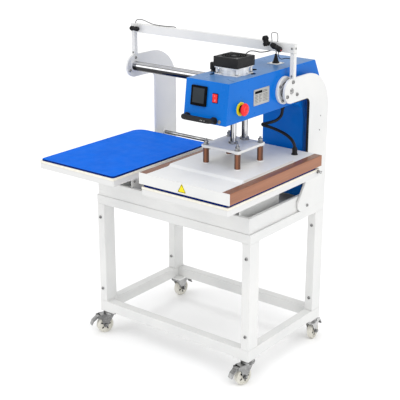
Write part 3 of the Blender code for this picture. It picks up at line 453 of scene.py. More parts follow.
def add_lathe(bm, profile, matrix=None, steps=24):
    """A turned closed shape from (radius, height) pairs that start and end on the axis or meet."""
    matrix = matrix or Matrix.Identity(4)
    rings = []
    for radius, height in profile:
        if radius < 1e-6:
            rings.append([bm.verts.new(matrix @ Vector((0, 0, height)))])
            continue
        rings.append([bm.verts.new(place) for place in raised_outline(matrix, circle(radius, steps), height)])
    for first, second in zip(rings, rings[1:]):
        for i in range(steps):
            j = (i + 1) % steps
            corners = []
            for vertex in (first[i % len(first)], first[j % len(first)], second[j % len(second)],
                           second[i % len(second)]):
                if vertex not in corners:
                    corners.append(vertex)
            if len(corners) > 2:
                bm.faces.new(corners)
    return bm


def add_loft(bm, rings, closed=False, capped=False):
    """Joins rings of equally many places with faces, back to the first ring or with a face over both ends."""
    rings = [[bm.verts.new(place) for place in ring] for ring in rings]
    pairs = list(zip(rings, rings[1:]))
    if closed:
        pairs.append((rings[-1], rings[0]))
    count = len(rings[0])
    for first, second in pairs:
        for i in range(count):
            j = (i + 1) % count
            bm.faces.new((first[i], first[j], second[j], second[i]))
    if capped:
        bm.faces.new(rings[0][::-1])
        bm.faces.new(rings[-1])
    return bm


def raised_outline(matrix, outline, height):
    """A flat outline's places at a height."""
    return [matrix @ Vector((u, v, height)) for u, v in outline]


def circle(radius, count):
    angles = [2 * math.pi * i / count for i in range(count)]
    return [(radius * math.cos(angle), radius * math.sin(angle)) for angle in angles]


def add_slab(bm, outline, low, high, matrix=None, bevel=0.0, segments=2):
    """A flat outline given thickness from low to high, with rounded rims."""
    matrix = matrix or Matrix.Identity(4)
    bottom = [bm.verts.new(matrix @ Vector((u, v, low))) for u, v in outline]
    top = [bm.verts.new(matrix @ Vector((u, v, high))) for u, v in outline]
    faces = [bm.faces.new(bottom[::-1]), bm.faces.new(top)]
    count = len(outline)
    for i in range(count):
        j = (i + 1) % count
        faces.append(bm.faces.new((bottom[i], bottom[j], top[j], top[i])))
    if bevel:
        edges = [edge for edge in faces[1].edges] + [edge for edge in faces[0].edges]
        bmesh.ops.bevel(bm, geom=edges, offset=bevel, segments=segments, affect="EDGES", clamp_overlap=True)
    return bm


def rounded(width, height, radius, steps=4, centre=(0, 0)):
    points = []
    for sign_x, sign_y, start in ((1, 1, 0), (-1, 1, 90), (-1, -1, 180), (1, -1, 270)):
        for step in range(steps + 1):
            angle = math.radians(start + 90 * step / steps)
            points.append((centre[0] + sign_x * (width / 2 - radius) + radius * math.cos(angle),
                           centre[1] + sign_y * (height / 2 - radius) + radius * math.sin(angle)))
    return points


def add_box(bm, low, high, bevel=0.0, matrix=None, segments=2):
    low = Vector(low)
    high = Vector(high)
    outline = [(low.x, low.y), (high.x, low.y), (high.x, high.y), (low.x, high.y)]
    return add_slab(bm, outline, low.z, high.z, matrix, bevel, segments)


def add_tube(bm, points, radius, sides=10, swell=None):
    """A round bar along points, with closed ends. swell gives a factor for the radius at each point."""
    points = [Vector(point) for point in points]
    tangents = []
    for index in range(len(points)):
        before = points[max(0, index - 1)]
        after = points[min(len(points) - 1, index + 1)]
        tangents.append((after - before).normalized())
    normal = tangents[0].orthogonal().normalized()
    rings = []
    for index, (point, tangent) in enumerate(zip(points, tangents)):
        normal = (normal - tangent * normal.dot(tangent)).normalized()
        side = tangent.cross(normal)
        size = radius * (swell(index) if swell else 1.0)
        rings.append([point + size * (normal * math.cos(2 * math.pi * k / sides)
                                      + side * math.sin(2 * math.pi * k / sides)) for k in range(sides)])
    return add_loft(bm, rings, capped=True)


def smooth_route(route, spacing):
    """Points spaced along a smooth curve through a route's points."""
    route = [Vector(point) for point in route]
    padded = [2 * route[0] - route[1]] + route + [2 * route[-1] - route[-2]]
    dense = []
    for index in range(1, len(padded) - 2):
        before, start, end, after = padded[index - 1:index + 3]
        for step in range(24):
            t = step / 24
            straight = 2 * start + (end - before) * t
            bent = (2 * before - 5 * start + 4 * end - after) * t ** 2
            dense.append(0.5 * (straight + bent + (3 * start - before - 3 * end + after) * t ** 3))
    dense.append(route[-1])
    lengths = [0.0]
    for first, second in zip(dense, dense[1:]):
        lengths.append(lengths[-1] + (second - first).length)
    count = max(2, round(lengths[-1] / spacing))
    points = []
    place = 0
    for index in range(count + 1):
        target = lengths[-1] * index / count
        while place < len(lengths) - 2 and lengths[place + 1] < target:
            place += 1
        share = (target - lengths[place]) / (lengths[place + 1] - lengths[place])
        points.append(dense[place].lerp(dense[place + 1], min(1.0, max(0.0, share))))
    return points, lengths[-1]


# ------------------------------------------------------------------ camera, floor and light
CAMERA_AZIMUTH = math.radians(38.01)     # from the front, towards the right
CAMERA_ELEVATION = math.radians(19.11)
CAMERA_PLACE = Vector((2.4169, -3.1590, 2.0118))
CAMERA_LENS = 89.4
AMBIENT = 0.76                           # strength of the world as a light
BACKDROP = 1.15                          # and as the camera sees it
SUN_STRENGTH = 1.45
SUN_SPREAD = math.radians(70)


def make_camera():
    azimuth = CAMERA_AZIMUTH
    elevation = CAMERA_ELEVATION
    back = Vector((math.sin(azimuth) * math.cos(elevation), -math.cos(azimuth) * math.cos(elevation),
                   math.sin(elevation)))
    right = Vector((math.cos(azimuth), math.sin(azimuth), 0.0))
    up = back.cross(right)
    turn = Matrix((right, up, back)).transposed().to_4x4()
    camera_data = bpy.data.cameras.new("camera")
    camera_data.lens = CAMERA_LENS
    camera_data.sensor_width = 36.0
    camera = new_object("camera", camera_data)
    camera.matrix_world = Matrix.Translation(CAMERA_PLACE + MIDDLE) @ turn
    bpy.context.scene.camera = camera


def make_floor():
    bm = bmesh.new()
    bmesh.ops.create_grid(bm, x_segments=2, y_segments=2, size=14.0)
    mesh = bpy.data.meshes.new("studio_floor")
    bm.to_mesh(mesh)
    bm.free()
    floor = new_object("studio_floor", mesh)
    pale = Shading("pale_floor", (0.98, 0.98, 0.98), 0.8).shine(0.0)
    pale.tinted(pale.noise(0.6, 2), (0.95, 0.95, 0.955))
    mesh.materials.append(pale.material)


def make_light(name, place, target, size, power):
    data = bpy.data.lights.new(name, "AREA")
    data.shape = "RECTANGLE"
    data.size = size[0]
    data.size_y = size[1]
    data.energy = power
    light = new_object(name, data)
    place = Vector(place) + MIDDLE
    aim = Vector(target) + MIDDLE - place
    light.matrix_world = Matrix.Translation(place) @ (-aim).to_track_quat("Z", "Y").to_matrix().to_4x4()


def make_studio():
    world = bpy.data.worlds.new("studio")
    bpy.context.scene.world = world
    world.use_nodes = True
    background = world.node_tree.nodes["Background"]
    background.inputs["Color"].default_value = (1.0, 1.0, 1.0, 1.0)
    backdrop = world.node_tree.nodes.new("ShaderNodeBackground")
    backdrop.inputs["Color"].default_value = (1.0, 1.0, 1.0, 1.0)
    seen = world.node_tree.nodes.new("ShaderNodeLightPath")
    both = world.node_tree.nodes.new("ShaderNodeMixShader")
    output = world.node_tree.nodes["World Output"]
    world.node_tree.links.new(seen.outputs["Is Camera Ray"], both.inputs["Fac"])
    world.node_tree.links.new(background.outputs["Background"], both.inputs[1])
    world.node_tree.links.new(backdrop.outputs["Background"], both.inputs[2])
    world.node_tree.links.new(both.outputs["Shader"], output.inputs["Surface"])
    background.inputs["Strength"].default_value = AMBIENT
    backdrop.inputs["Strength"].default_value = BACKDROP
    sun = bpy.data.lights.new("overhead", "SUN")
    sun.energy = SUN_STRENGTH
    sun.angle = SUN_SPREAD
    sky = new_object("overhead", sun)
    sky.rotation_euler = (math.radians(14), math.radians(6), 0)
    make_light("front_left", (-2.6, -3.0, 2.2), (0, 0, 0.8), (1.6, 2.2), 19)
    make_light("right_side", (3.2, -0.8, 1.8), (0, 0, 0.9), (1.2, 2.2), 20)
    bpy.context.scene.view_settings.view_transform = "Standard"


# ------------------------------------------------------------------ fasteners
def socket_screw(bm, place, direction, radius, height=None, steps=16):
    """A domed screw with a hexagon socket."""
    height = height or radius * 0.7
    matrix = at(place, direction)
    add_lathe(bm, [(radius * 0.42, height * 0.45), (radius * 0.48, height), (radius * 0.78, height * 0.92),
                   (radius * 0.95, height * 0.62), (radius, height * 0.2), (radius, 0.0), (0, 0.0)], matrix,
              steps)
    add_lathe(bm, [(0, height * 0.30), (radius * 0.44, height * 0.30), (radius * 0.44, height * 0.1),
                   (0, height * 0.1)],
              matrix, steps=6)


def hex_bolt(bm, place, direction, across, height, washer=None, spin=0.0):
    """A hexagon head with a chamfered crown on a round washer."""
    matrix = at(place, direction, spin)
    rise = 0.0
    if washer:
        rise = 0.0016
        add_lathe(bm, [(0, rise), (washer * 0.96, rise), (washer, rise * 0.7), (washer, 0), (0, 0)], matrix,
                  24)
    radius = across / math.sqrt(3)
    add_lathe(bm, [(0, rise + height), (radius * 0.80, rise + height), (radius, rise + height * 0.82),
                   (radius, rise),
                   (0, rise)], matrix, steps=6)


# ------------------------------------------------------------------ stand
def dress_stand():
    bolts = bmesh.new()
    plugs_and_hole_shade = bmesh.new()
    for side in (-1, 1):
        for row, direction in ((-1, -1), (1, 1)):
            face = row * 0.2675
            for height in LEG_BOLT_HEIGHTS:
                socket_screw(bolts, (side * 0.3835, face, height), (0, direction, 0), 0.0068)
        # the same bolts on the faces that the front and rear legs turn to each other
        for height in LEG_BOLT_HEIGHTS:
            socket_screw(bolts, (side * 0.3835, 0.204, height), (0, -1, 0), 0.0068)
            socket_screw(bolts, (side * 0.3835, -0.204, height), (0, 1, 0), 0.0068)
    places = [(x, -0.2550) for x in (-0.2495, 0.137, 0.273)]
    places += [(side * 0.388, y) for y in (-0.15, 0.02, 0.16) for side in (-1, 1)]
    for x, y in places:
        add_lathe(plugs_and_hole_shade, [(0, 0.0006), (0.0034, 0.0006), (0.0038, 0.0), (0, 0.0)], at((x, y, LOW_RAIL_TOP)),
                  14)
    new_piece("leg_bolts", bolts, "screw_steel", "stand")
    new_piece("rail_plugs", plugs_and_hole_shade, "board_white", "stand")
    # weld beads across the rails, low and high on each side
    beads = bmesh.new()
    for z in (LOW_RAIL_TOP, LEG_TOP):
        for side in (-1, 1):
            for row in (-1, 1):
                bead_z = z + (0.0015 if z < 0.3 else -0.0015)
                add_tube(beads, [(side * 0.3625, row * y, bead_z) for y in (0.2674, 0.2035)], 0.0022, 8)
    new_piece("leg_welds", beads, "white_paint", "stand")


def dress_casters():
    yaws = {"front_left": -118.0, "front_right": -105.0, "rear_left": 84.0, "rear_right": 96.0}
    signs = {"front_left": (-1, -1), "front_right": (1, -1), "rear_left": (-1, 1), "rear_right": (1, 1)}
    for corner, yaw in yaws.items():
        place = Vector((signs[corner][0] * 0.376, signs[corner][1] * 0.2355, 0))
        turn = Matrix.Translation(place) @ Matrix.Rotation(math.radians(yaw), 4, "Z")
        hub = bmesh.new()
        for side in (-1, 1):
            direction = turn.to_3x3() @ Vector((0, side, 0))
            hex_bolt(hub, turn @ Vector((AXLE_REACH, side * 0.0202, AXLE_Z)), direction, 0.012, 0.0042,
                     0.0085)
        add_lathe(hub, [(0.0262, 0.0985), (0.0290, 0.0975), (0.0295, 0.0950), (0.0290, 0.0925),
                        (0.0262, 0.0915),
                        (0.0262, 0.0985)], turn, 32)
        new_piece("caster_fittings_" + corner, hub, "screw_steel", "caster_" + corner)
        # dark patches in the wheel's pockets: painted shade
        disc = bmesh.new()
        for side in (-1, 1):
            direction = turn.to_3x3() @ Vector((0, side, 0))
            axle = turn @ Vector((AXLE_REACH, side * 0.0092, AXLE_Z))
            matrix = at(axle, direction)
            for step, (u, v) in enumerate(circle(0.0185, 5)):
                angle = 2 * math.pi * step / 5
                add_slab(disc, rounded(0.0105, 0.0055, 0.0026, 3), 0.0, 0.0012,
                         matrix @ Matrix.Translation((u, v, 0)) @ Matrix.Rotation(angle, 4, "Z"))
        new_piece("wheel_pocket_shade_" + corner, disc, "recess_dark", "wheel_" + corner)
        # dark patches in the pedal's slots: painted shade
        slot_shade = bmesh.new()
        for step in range(3):
            along = turn @ Matrix.Translation((0.055, 0, 0.080)) @ Matrix.Rotation(math.radians(37), 4, "Y")
            add_slab(slot_shade, rounded(0.0030, 0.0165, 0.0014, 3, (0.0115 + 0.0065 * step, 0)), 0.0010, 0.0048,
                     along)
        new_piece("pedal_slot_shade_" + corner, slot_shade, "recess_dark", "pedal_" + corner)


def dress_tray():
    screws = bmesh.new()
    for station in STATIONS.values():
        for side in (-1, 1):
            for y in (-0.245, -0.095):
                socket_screw(screws, (station + side * 0.075, y, 0.738), (side, 0, 0), 0.0052)
    for x in (-0.34, 0.0, 0.34):
        socket_screw(screws, (x, 0.2655, 0.682), (0, 1, 0), 0.0042)
    new_piece("tray_screws", screws, "screw_steel", "stand")
    rim = bmesh.new()
    for x_low, y_low, x_high, y_high in ((-0.3925, -0.2655, 0.3925, -0.2535),
                                         (-0.3925, 0.2535, 0.3925, 0.2655)):
        add_box(rim, (x_low, y_low, 0.7124), (x_high, y_high, 0.7138), 0.0005)
    for side in (-1, 1):
        low = min(side * 0.3925, side * 0.3805)
        add_box(rim, (low, -0.2535, 0.7124), (low + 0.012, 0.2535, 0.7138), 0.0005)
    new_piece("tray_folded_rim", rim, "white_paint", "stand")


# ------------------------------------------------------------------ machine frame
SIDE_UNDERSIDE = SHAFT_Z - 0.048    # the underside of a side plate's nose


def add_edge_shade_strip(bm, edge, inner_x, outer_x):
    """A thin dark strip laid along an edge given in Y and Z, between two X places."""
    rings = []
    for index, (y, z) in enumerate(edge):
        before = edge[max(index - 1, 0)]
        after = edge[min(index + 1, len(edge) - 1)]
        along = Vector((after[0] - before[0], after[1] - before[1])).normalized()
        away = Vector((-along.y, along.x))
        near = Vector((y, z)) + away * 0.0002
        far = Vector((y, z)) + away * 0.0022
        corners = ((inner_x, near), (outer_x, near), (outer_x, far), (inner_x, far))
        rings.append([(x, place.x, place.y) for x, place in corners])
    add_loft(bm, rings, capped=True)


def dress_side_plates():
    screws = bmesh.new()
    caps = bmesh.new()
    for side in (-1, 1):
        face = side * SIDE_FACE
        out = (side, 0, 0)
        for y, z in ((-0.008, 1.1975), (-0.0455, 1.1460), (0.0220, 1.1450)):
            socket_screw(screws, (face, y, z), out, 0.0072, 0.0055)
        socket_screw(screws, (face, 0.1255, 0.6640), out, 0.0068, 0.0050)
        for y, z in ((0.205, 1.024), (0.200, 0.966)):
            socket_screw(screws, (face, y, z), out, 0.0030, 0.0012)
        hex_bolt(screws, (face, ROD_Y, ROD_Z), out, 0.013, 0.005, 0.0095)
        for y, z in ((-0.008, 1.1975), (-0.0455, 1.1460)):
            socket_screw(screws, (face - side * 0.010, y, z), (-side, 0, 0), 0.0062, 0.0040)
        add_lathe(caps, [(0, 0.0046), (0.0085, 0.0046), (0.0098, 0.0036), (0.0112, 0.0016), (0.0118, 0.0),
                         (0, 0.0)],
                  at((face, SHAFT_Y, SHAFT_Z), out), 32)
        add_lathe(caps, [(0, 0.0062), (0.0050, 0.0062), (0.0056, 0.0052), (0.0056, 0.0040), (0, 0.0040)],
                  at((face, SHAFT_Y, SHAFT_Z), out), steps=6)
    new_piece("side_plate_screws", screws, "screw_steel", "stand")
    new_piece("shaft_end_caps", caps, "screw_steel", "stand")
    # a black strip over the right side plate's front edge and the underside of its nose: painted shade
    edge_shade = bmesh.new()
    edge = [(0.1180, 0.7790), (0.1180, 0.9350)]
    for step in range(9):
        angle = math.radians(90 * step / 8)
        edge.append((0.0940 + 0.0240 * math.cos(angle), SIDE_UNDERSIDE - 0.0240 + 0.0240 * math.sin(angle)))
    edge.append((0.0100, SIDE_UNDERSIDE))
    add_edge_shade_strip(edge_shade, edge, SIDE_INNER, SIDE_FACE + 0.0002)
    new_piece("side_plate_edge_shade", edge_shade, "black_plastic", "stand")
    collars = bmesh.new()
    for side in (-1, 1):
        add_lathe(collars, [(0.0203, 0.0020), (0.0240, 0.0020), (0.0252, 0.0014), (0.0252, 0.0),
                            (0.0203, 0.0),
                            (0.0203, 0.0020)], at((side * SIDE_INNER, SHAFT_Y, SHAFT_Z), (-side, 0, 0)), 40)
        add_lathe(collars, [(0.0083, 0.005), (0.0130, 0.005), (0.0138, 0.004), (0.0138, 0.0), (0.0083, 0.0),
                            (0.0083, 0.005)], at((side * SIDE_INNER, ROD_Y, ROD_Z), (-side, 0, 0)), 28)
    new_piece("shaft_collars", collars, "machined_alloy", "stand")


def dress_beam():
    screws = bmesh.new()
    for side in (-1, 1):
        socket_screw(screws, (side * 0.410, BEAM_Y, 1.3262), (side, 0, 0), 0.0046)
        socket_screw(screws, (side * 0.4010, -0.0171, 1.3262), (0, -1, 0), 0.0044)
        socket_screw(screws, (side * 0.4010, -0.0151, 1.2200), (0, -1, 0), 0.0040)
    new_piece("beam_screws", screws, "screw_steel", "stand")
    caps = bmesh.new()
    for side in (-1, 1):
        matrix = Matrix.Translation((side * 0.410, BEAM_Y, BEAM_Z)) @ facing((side, 0, 0))
        add_slab(caps, rounded(0.0350, 0.0205, 0.003, 3), 0.0, 0.0012, matrix, 0.0004)
    new_piece("beam_end_caps", caps, "white_paint", "stand")


def make_laser(name, pin, direction, length, radius, offset, knurls):
    """A knurled laser barrel with a lens at its lower or outer end, on a clamp and pin."""
    x, pin_z = pin
    front = -0.0173
    centre = Vector((x, front - radius - 0.0075, pin_z))
    direction = Vector(direction).normalized()
    back = centre - direction * length * offset
    bm = bmesh.new()
    profile = [(0, length), (radius * 0.35, length), (radius * 0.40, length - 0.0012),
               (radius * 0.70, length - 0.0014),
               (radius * 0.92, length - 0.0006), (radius * 0.98, length - 0.0016)]
    steps = 14
    for step in range(steps):
        height = length - 0.004 - (length - 0.009) * step / steps
        profile.append((radius - (0.0013 if step % 2 else 0.0), height))
    profile += [(radius * 0.98, 0.004), (radius * 0.78, 0.0012), (radius * 0.5, 0.0), (0, 0.0)]
    add_lathe(bm, profile, at(back, direction), 28)
    # two rings of knurls: the focusing collar and the grip at the back
    for ring in (0.16, 0.68):
        for step in range(knurls):
            angle = 360 * step / knurls
            matrix = at(back + direction * length * ring, direction, angle)
            add_box(bm, (radius - 0.0008, -0.0013, 0.0), (radius + 0.0014, 0.0013, length * 0.24), 0.0004,
                    matrix, 1)
    add_lathe(bm, [(0, 0.0150), (0.0042, 0.0150), (0.0044, 0.0140), (0.0044, 0.0), (0, 0.0)],
              at((x, front, pin_z), (0, -1, 0)), 20)
    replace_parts(new_piece(name + "_barrel", bm, "black_plastic", name), name)
    lens = bmesh.new()
    add_lathe(lens, [(0, 0.0009), (0.0018, 0.0006), (0.0028, 0.0), (0, 0.0)],
              at(back + direction * length, direction), 20)
    new_piece(name + "_lens", lens, "stop_red", name)


def dress_lasers():
    make_laser("laser_left", (-0.375, BEAM_Z), (-1, 0, 0), 0.046, 0.0085, 0.5, 10)
    make_laser("laser_middle", (0.297, BEAM_Z + 0.0100), (0.25, 0, -1), 0.040, 0.0115, 0.80, 14)
    make_laser("laser_right", (0.336, BEAM_Z + 0.0030), (1, 0, -0.42), 0.050, 0.0095, 0.42, 12)
    hoop = bmesh.new()
    route = [(0.3060, -0.0120, 1.3430), (0.3062, -0.0140, 1.3560), (0.3070, -0.0170, 1.3720),
             (0.3110, -0.0180, 1.3775),
             (0.3200, -0.0180, 1.3785), (0.3300, -0.0170, 1.3780), (0.3335, -0.0160, 1.3740),
             (0.3330, -0.0130, 1.3600),
             (0.3310, -0.0110, 1.3430)]
    add_tube(hoop, smooth_route(route, 0.003)[0], 0.0014, 8)
    new_piece("laser_wire_hoop", hoop, "black_plastic", "stand")


# ------------------------------------------------------------------ work stations
PAD_CORNERS = (0.012, 0.012, 0.024, 0.042)      # front left, front right, rear right, rear left
BOARD_CORNERS = (0.004, 0.004, 0.004, 0.004)


def corner_outline(low, high, grow, radii, steps=7):
    """A rectangle in X and Y with its own radius at each corner, anticlockwise from the front left one."""
    outline = []
    turns = ((-1, -1, 180), (1, -1, 270), (1, 1, 0), (-1, 1, 90))
    for (side_x, side_y, start), radius in zip(turns, radii):
        centre_x = (high.x if side_x > 0 else low.x) + side_x * (grow - radius)
        centre_y = (high.y if side_y > 0 else low.y) + side_y * (grow - radius)
        for step in range(steps + 1):
            angle = math.radians(start + 90 * step / steps)
            outline.append((centre_x + radius * math.cos(angle), centre_y + radius * math.sin(angle)))
    return outline


def dress_stations():
    for side in STATIONS:
        pad_low, pad_high = low_high("silicone_pad_" + side)
        board_low, board_high = low_high("lower_board_" + side)
        pad = bmesh.new()
        add_slab(pad, corner_outline(pad_low, pad_high, 0.0, PAD_CORNERS), pad_low.z, pad_high.z, None,
                 0.0012)
        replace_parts(new_piece("pad_sheet_" + side, pad, "pad_silicone", "stand"), "silicone_pad_" + side)
        layer = bmesh.new()
        outer = corner_outline(board_low, board_high, 0.0004, BOARD_CORNERS)
        inner = corner_outline(pad_low, pad_high, 0.0006, PAD_CORNERS)
        top = board_high.z
        add_loft(layer, [[(u, v, height) for u, v in outline] for outline, height in (
            (outer, top - 0.0090), (outer, top + 0.0003), (inner, top + 0.0006), (inner, top))], closed=True)
        new_piece("cream_layer_" + side, layer, "cream_layer", "stand")
    # wing bolts that clamp the rear corner of each board
    wings = bmesh.new()
    for station in STATIONS.values():
        x = station + 0.2022
        add_lathe(wings, [(0, 0.0120), (0.0036, 0.0120), (0.0044, 0.0108), (0.0044, 0.0030), (0.0078, 0.0026),
                          (0.0080, 0.0), (0, 0.0)], at((x, 0.0900, 0.8290), (1, 0, 0)), 18)
        for wing in (-1, 1):
            loop = []
            for step in range(15):
                angle = math.radians(24 * step)
                loop.append((x + 0.0090, 0.0900 + wing * (0.0088 + 0.0060 * math.cos(angle)),
                             0.8290 + 0.0050 * math.sin(angle) - wing * 0.0040))
            add_tube(wings, loop, 0.0014, 8)
    new_piece("board_wing_bolts", wings, "screw_steel", "stand")


# ------------------------------------------------------------------ head
def dress_arm():
    bolts = bmesh.new()
    out = (0, -math.cos(LEAN), math.sin(LEAN))
    hex_bolt(bolts, on_front(0.336, 1.1065).translation, out, 0.0085, 0.0035, 0.0072, 20)
    for z in (0.76, 0.90, 1.04, 1.14):
        for side in (-1, 1):
            socket_screw(bolts, (HEAD_X + side * 0.080, ARM_HIGH.y, z), (0, 1, 0), 0.0034, 0.0014)
    new_piece("arm_screws", bolts, "screw_steel", "head")
    # removable cover on the rear of the column, with a folded edge and cooling louvres
    cover = bmesh.new()
    add_slab(cover, rounded(0.178, 0.452, 0.006, 3), 0.0, 0.0014,
             Matrix.Translation((HEAD_X, ARM_HIGH.y + 0.0002, 0.930)) @ Matrix.Rotation(math.radians(-90), 4,
                                                                                        "X"),
             0.0005)
    for step in range(7):
        z = 0.800 + 0.012 * step
        add_tube(cover, [(HEAD_X - 0.045, ARM_HIGH.y + 0.0018, z), (HEAD_X + 0.045, ARM_HIGH.y + 0.0018, z)],
                 0.0022, 8)
    new_piece("column_rear_cover", cover, "blue_paint", "head")
    # dark discs standing in for holes in the arm's top: painted shade
    plugs_and_hole_shade = bmesh.new()
    for x, y, radius in ((0.2860, -0.1020, 0.0120), (0.3305, -0.1690, 0.0085), (0.2110, -0.2660, 0.0080)):
        add_lathe(plugs_and_hole_shade, [(0, 0.0004), (radius * 0.8, 0.0004), (radius * 0.9, 0.0010), (radius, 0.0007),
                          (radius, 0.0001),
                          (0, 0.0001)], Matrix.Translation((x, y, ARM_TOP)), 28)
    new_piece("arm_top_hole_shade", plugs_and_hole_shade, "recess_dark", "head")
    # the gland's white foot plate on the arm's top
    foot = bmesh.new()
    outline = rounded(0.050, 0.050, 0.004, 4)
    hole = circle(0.0143, len(outline))
    matrix = Matrix.Translation((GLAND_X, GLAND_Y, ARM_TOP + RAISED))
    add_loft(foot, [raised_outline(matrix, ring, height) for ring, height in (
        (outline, 0), (outline, FOOT_PLATE), (hole, FOOT_PLATE), (hole, 0))], closed=True)
    new_piece("gland_foot_plate", foot, "white_paint", "head")
    gland_screws = bmesh.new()
    for u, v in ((-0.019, -0.019), (0.019, -0.019), (0.019, 0.019), (-0.019, 0.019)):
        socket_screw(gland_screws, (GLAND_X + u, GLAND_Y + v, ARM_TOP + RAISED + FOOT_PLATE), (0, 0, 1),
                     0.0024, 0.0010)
    new_piece("gland_screws", gland_screws, "screw_steel", "head")
    gland = bmesh.new()
    profile = [(0, 0.0380), (0.0036, 0.0380), (0.0042, 0.0372)]
    for step in range(12):
        share = step / 12
        height = 0.0365 - 0.0285 * share
        radius = 0.0046 + 0.0070 * share
        profile += [(radius, height), (radius - 0.0007, height - 0.0012)]
    profile += [(0.0120, 0.0078), (0.0137, 0.0070), (0.0140, 0.0062), (0.0140, 0.0006), (0.0136, 0.0),
                (0, 0.0)]
    add_lathe(gland, profile, at((GLAND_X, GLAND_Y, ARM_TOP + 0.0003)), 28)
    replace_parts(new_piece("ribbed_gland", gland, "black_plastic", "head"), "cable_gland")


def dress_screen():
    width = 0.0695
    height = 0.0735
    upright = on_front(0.23775, 1.1880, 0.0072)
    bezel = bmesh.new()
    outer = rounded(width, height, 0.0035, 4)
    middle = rounded(width - 0.004, height - 0.004, 0.0028, 4)
    inner = rounded(width - 0.0155, height - 0.0175, 0.0012, 4, (0, 0.0012))
    add_loft(bezel, [raised_outline(upright, outline, depth) for outline, depth in (
        (outer, -0.0066), (outer, 0.0), (middle, 0.0012), (inner, 0.0010), (inner, -0.0006))], capped=True)
    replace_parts(new_piece("screen_bezel", bezel, "recess_dark", "head"), "touch_screen")
    glass = bmesh.new()
    add_slab(glass, rounded(width - 0.0163, height - 0.0183, 0.001, 4, (0, 0.0012)), -0.0004, 0.0004,
             upright, 0.0002)
    new_piece("screen_glass", glass, "display_glass", "head")


def dress_rocker():
    upright = on_front(0.3094, 1.1885)
    frame_piece = bmesh.new()
    outer = rounded(0.0255, 0.0350, 0.0026, 4)
    middle = rounded(0.0240, 0.0335, 0.0022, 4)
    inner = rounded(0.0222, 0.0312, 0.0012, 4)
    add_loft(frame_piece, [raised_outline(upright, outline, depth) for outline, depth in (
        (inner, RAISED), (outer, RAISED), (outer, 0.0012), (middle, 0.0022), (inner, 0.0020),
                                                                                          (inner, RAISED))])
    new_piece("rocker_frame", frame_piece, "recess_dark", "head")
    rocker = bmesh.new()
    outline = [(-0.0150, -0.006), (0.0150, -0.006), (0.0150, 0.0052), (0.0110, 0.0046), (0.0, 0.0020),
               (-0.0110, 0.0030), (-0.0150, 0.0034)]
    matrix = upright @ Matrix(((0, 0, 1, 0), (1, 0, 0, 0), (0, 1, 0, 0), (0, 0, 0, 1)))
    add_slab(rocker, outline, -0.0103, 0.0103, matrix, 0.0007)
    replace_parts(new_piece("rocker_paddle", rocker, "stop_red", "power_rocker"), "power_rocker")
    marks = bmesh.new()
    ring = circle(0.0026, 18)
    lower = upright @ Matrix.Translation((0, -0.0080, 0.0030)) @ Matrix.Rotation(math.radians(-4), 4, "X")
    upper = upright @ Matrix.Translation((0, 0.0080, 0.0042)) @ Matrix.Rotation(math.radians(12), 4, "X")
    hole = [(u * 0.72, v * 0.72) for u, v in ring]
    add_loft(marks, [raised_outline(lower, outline, height) for outline, height in (
        (ring, 0.0), (ring, 0.0004), (hole, 0.0004), (hole, 0.0))], closed=True)
    add_slab(marks, rounded(0.0009, 0.0050, 0.0004, 2), -0.0002, 0.0004, upper)
    new_piece("rocker_marks", marks, "white_paint", "power_rocker")


def dress_stop():
    place = (ARM_HIGH.x + 0.0003, -0.2960, 1.1425)
    out = (1, 0, 0)
    cap = bmesh.new()
    profile = [(0, 0.0290), (0.0050, 0.0289), (0.0095, 0.0284), (0.0140, 0.0274), (0.0180, 0.0258),
               (0.0212, 0.0236),
               (0.0229, 0.0214), (0.0234, 0.0196), (0.0235, 0.0178), (0.0229, 0.0162), (0.0212, 0.0147),
               (0.0184, 0.0146), (0.0178, 0.0205), (0.0118, 0.0205), (0.0113, 0.0110), (0.0113, -0.0118),
               (0, -0.0118)]
    add_lathe(cap, profile, at(place, out), 48)
    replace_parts(new_piece("stop_mushroom", cap, "stop_red", "stop_button"), "stop_button")
    arrows = bmesh.new()
    for step in range(2):
        for index in range(9):
            a0 = math.radians(180 * step + 10 + 11 * index)
            a1 = math.radians(180 * step + 10 + 11 * (index + 1))
            height = 0.0271
            corners = [(0.0132, a0, height + 0.0004), (0.0152, a0, height - 0.0002),
                       (0.0152, a1, height - 0.0002),
                       (0.0132, a1, height + 0.0004)]
            add_loft(arrows, [[at(place, out) @ Vector((r * math.cos(a), r * math.sin(a), h + rise))
                               for r, a, h in corners] for rise in (-0.0010, 0.0003)], capped=True)
    new_piece("stop_arrows", arrows, "faded_print", "stop_button")
    collar = bmesh.new()
    profile = [(0.0126, 0.0052), (0.0160, 0.0046), (0.0225, 0.0046), (0.0242, 0.0050), (0.0252, 0.0042),
               (0.0255, 0.0030), (0.0255, 0.0), (0.0126, 0.0), (0.0126, 0.0052)]
    add_lathe(collar, profile, at(place, out), 48)
    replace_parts(new_piece("stop_ring", collar, "stop_yellow", "head"), "stop_collar")
    neck = bmesh.new()
    add_lathe(neck, [(0.0125, 0.0078), (0.0150, 0.0075), (0.0158, 0.0068), (0.0158, 0.0050), (0.0125, 0.0050),
                     (0.0125, 0.0078)], at(place, out), 36)
    new_piece("stop_neck", neck, "black_plastic", "head")


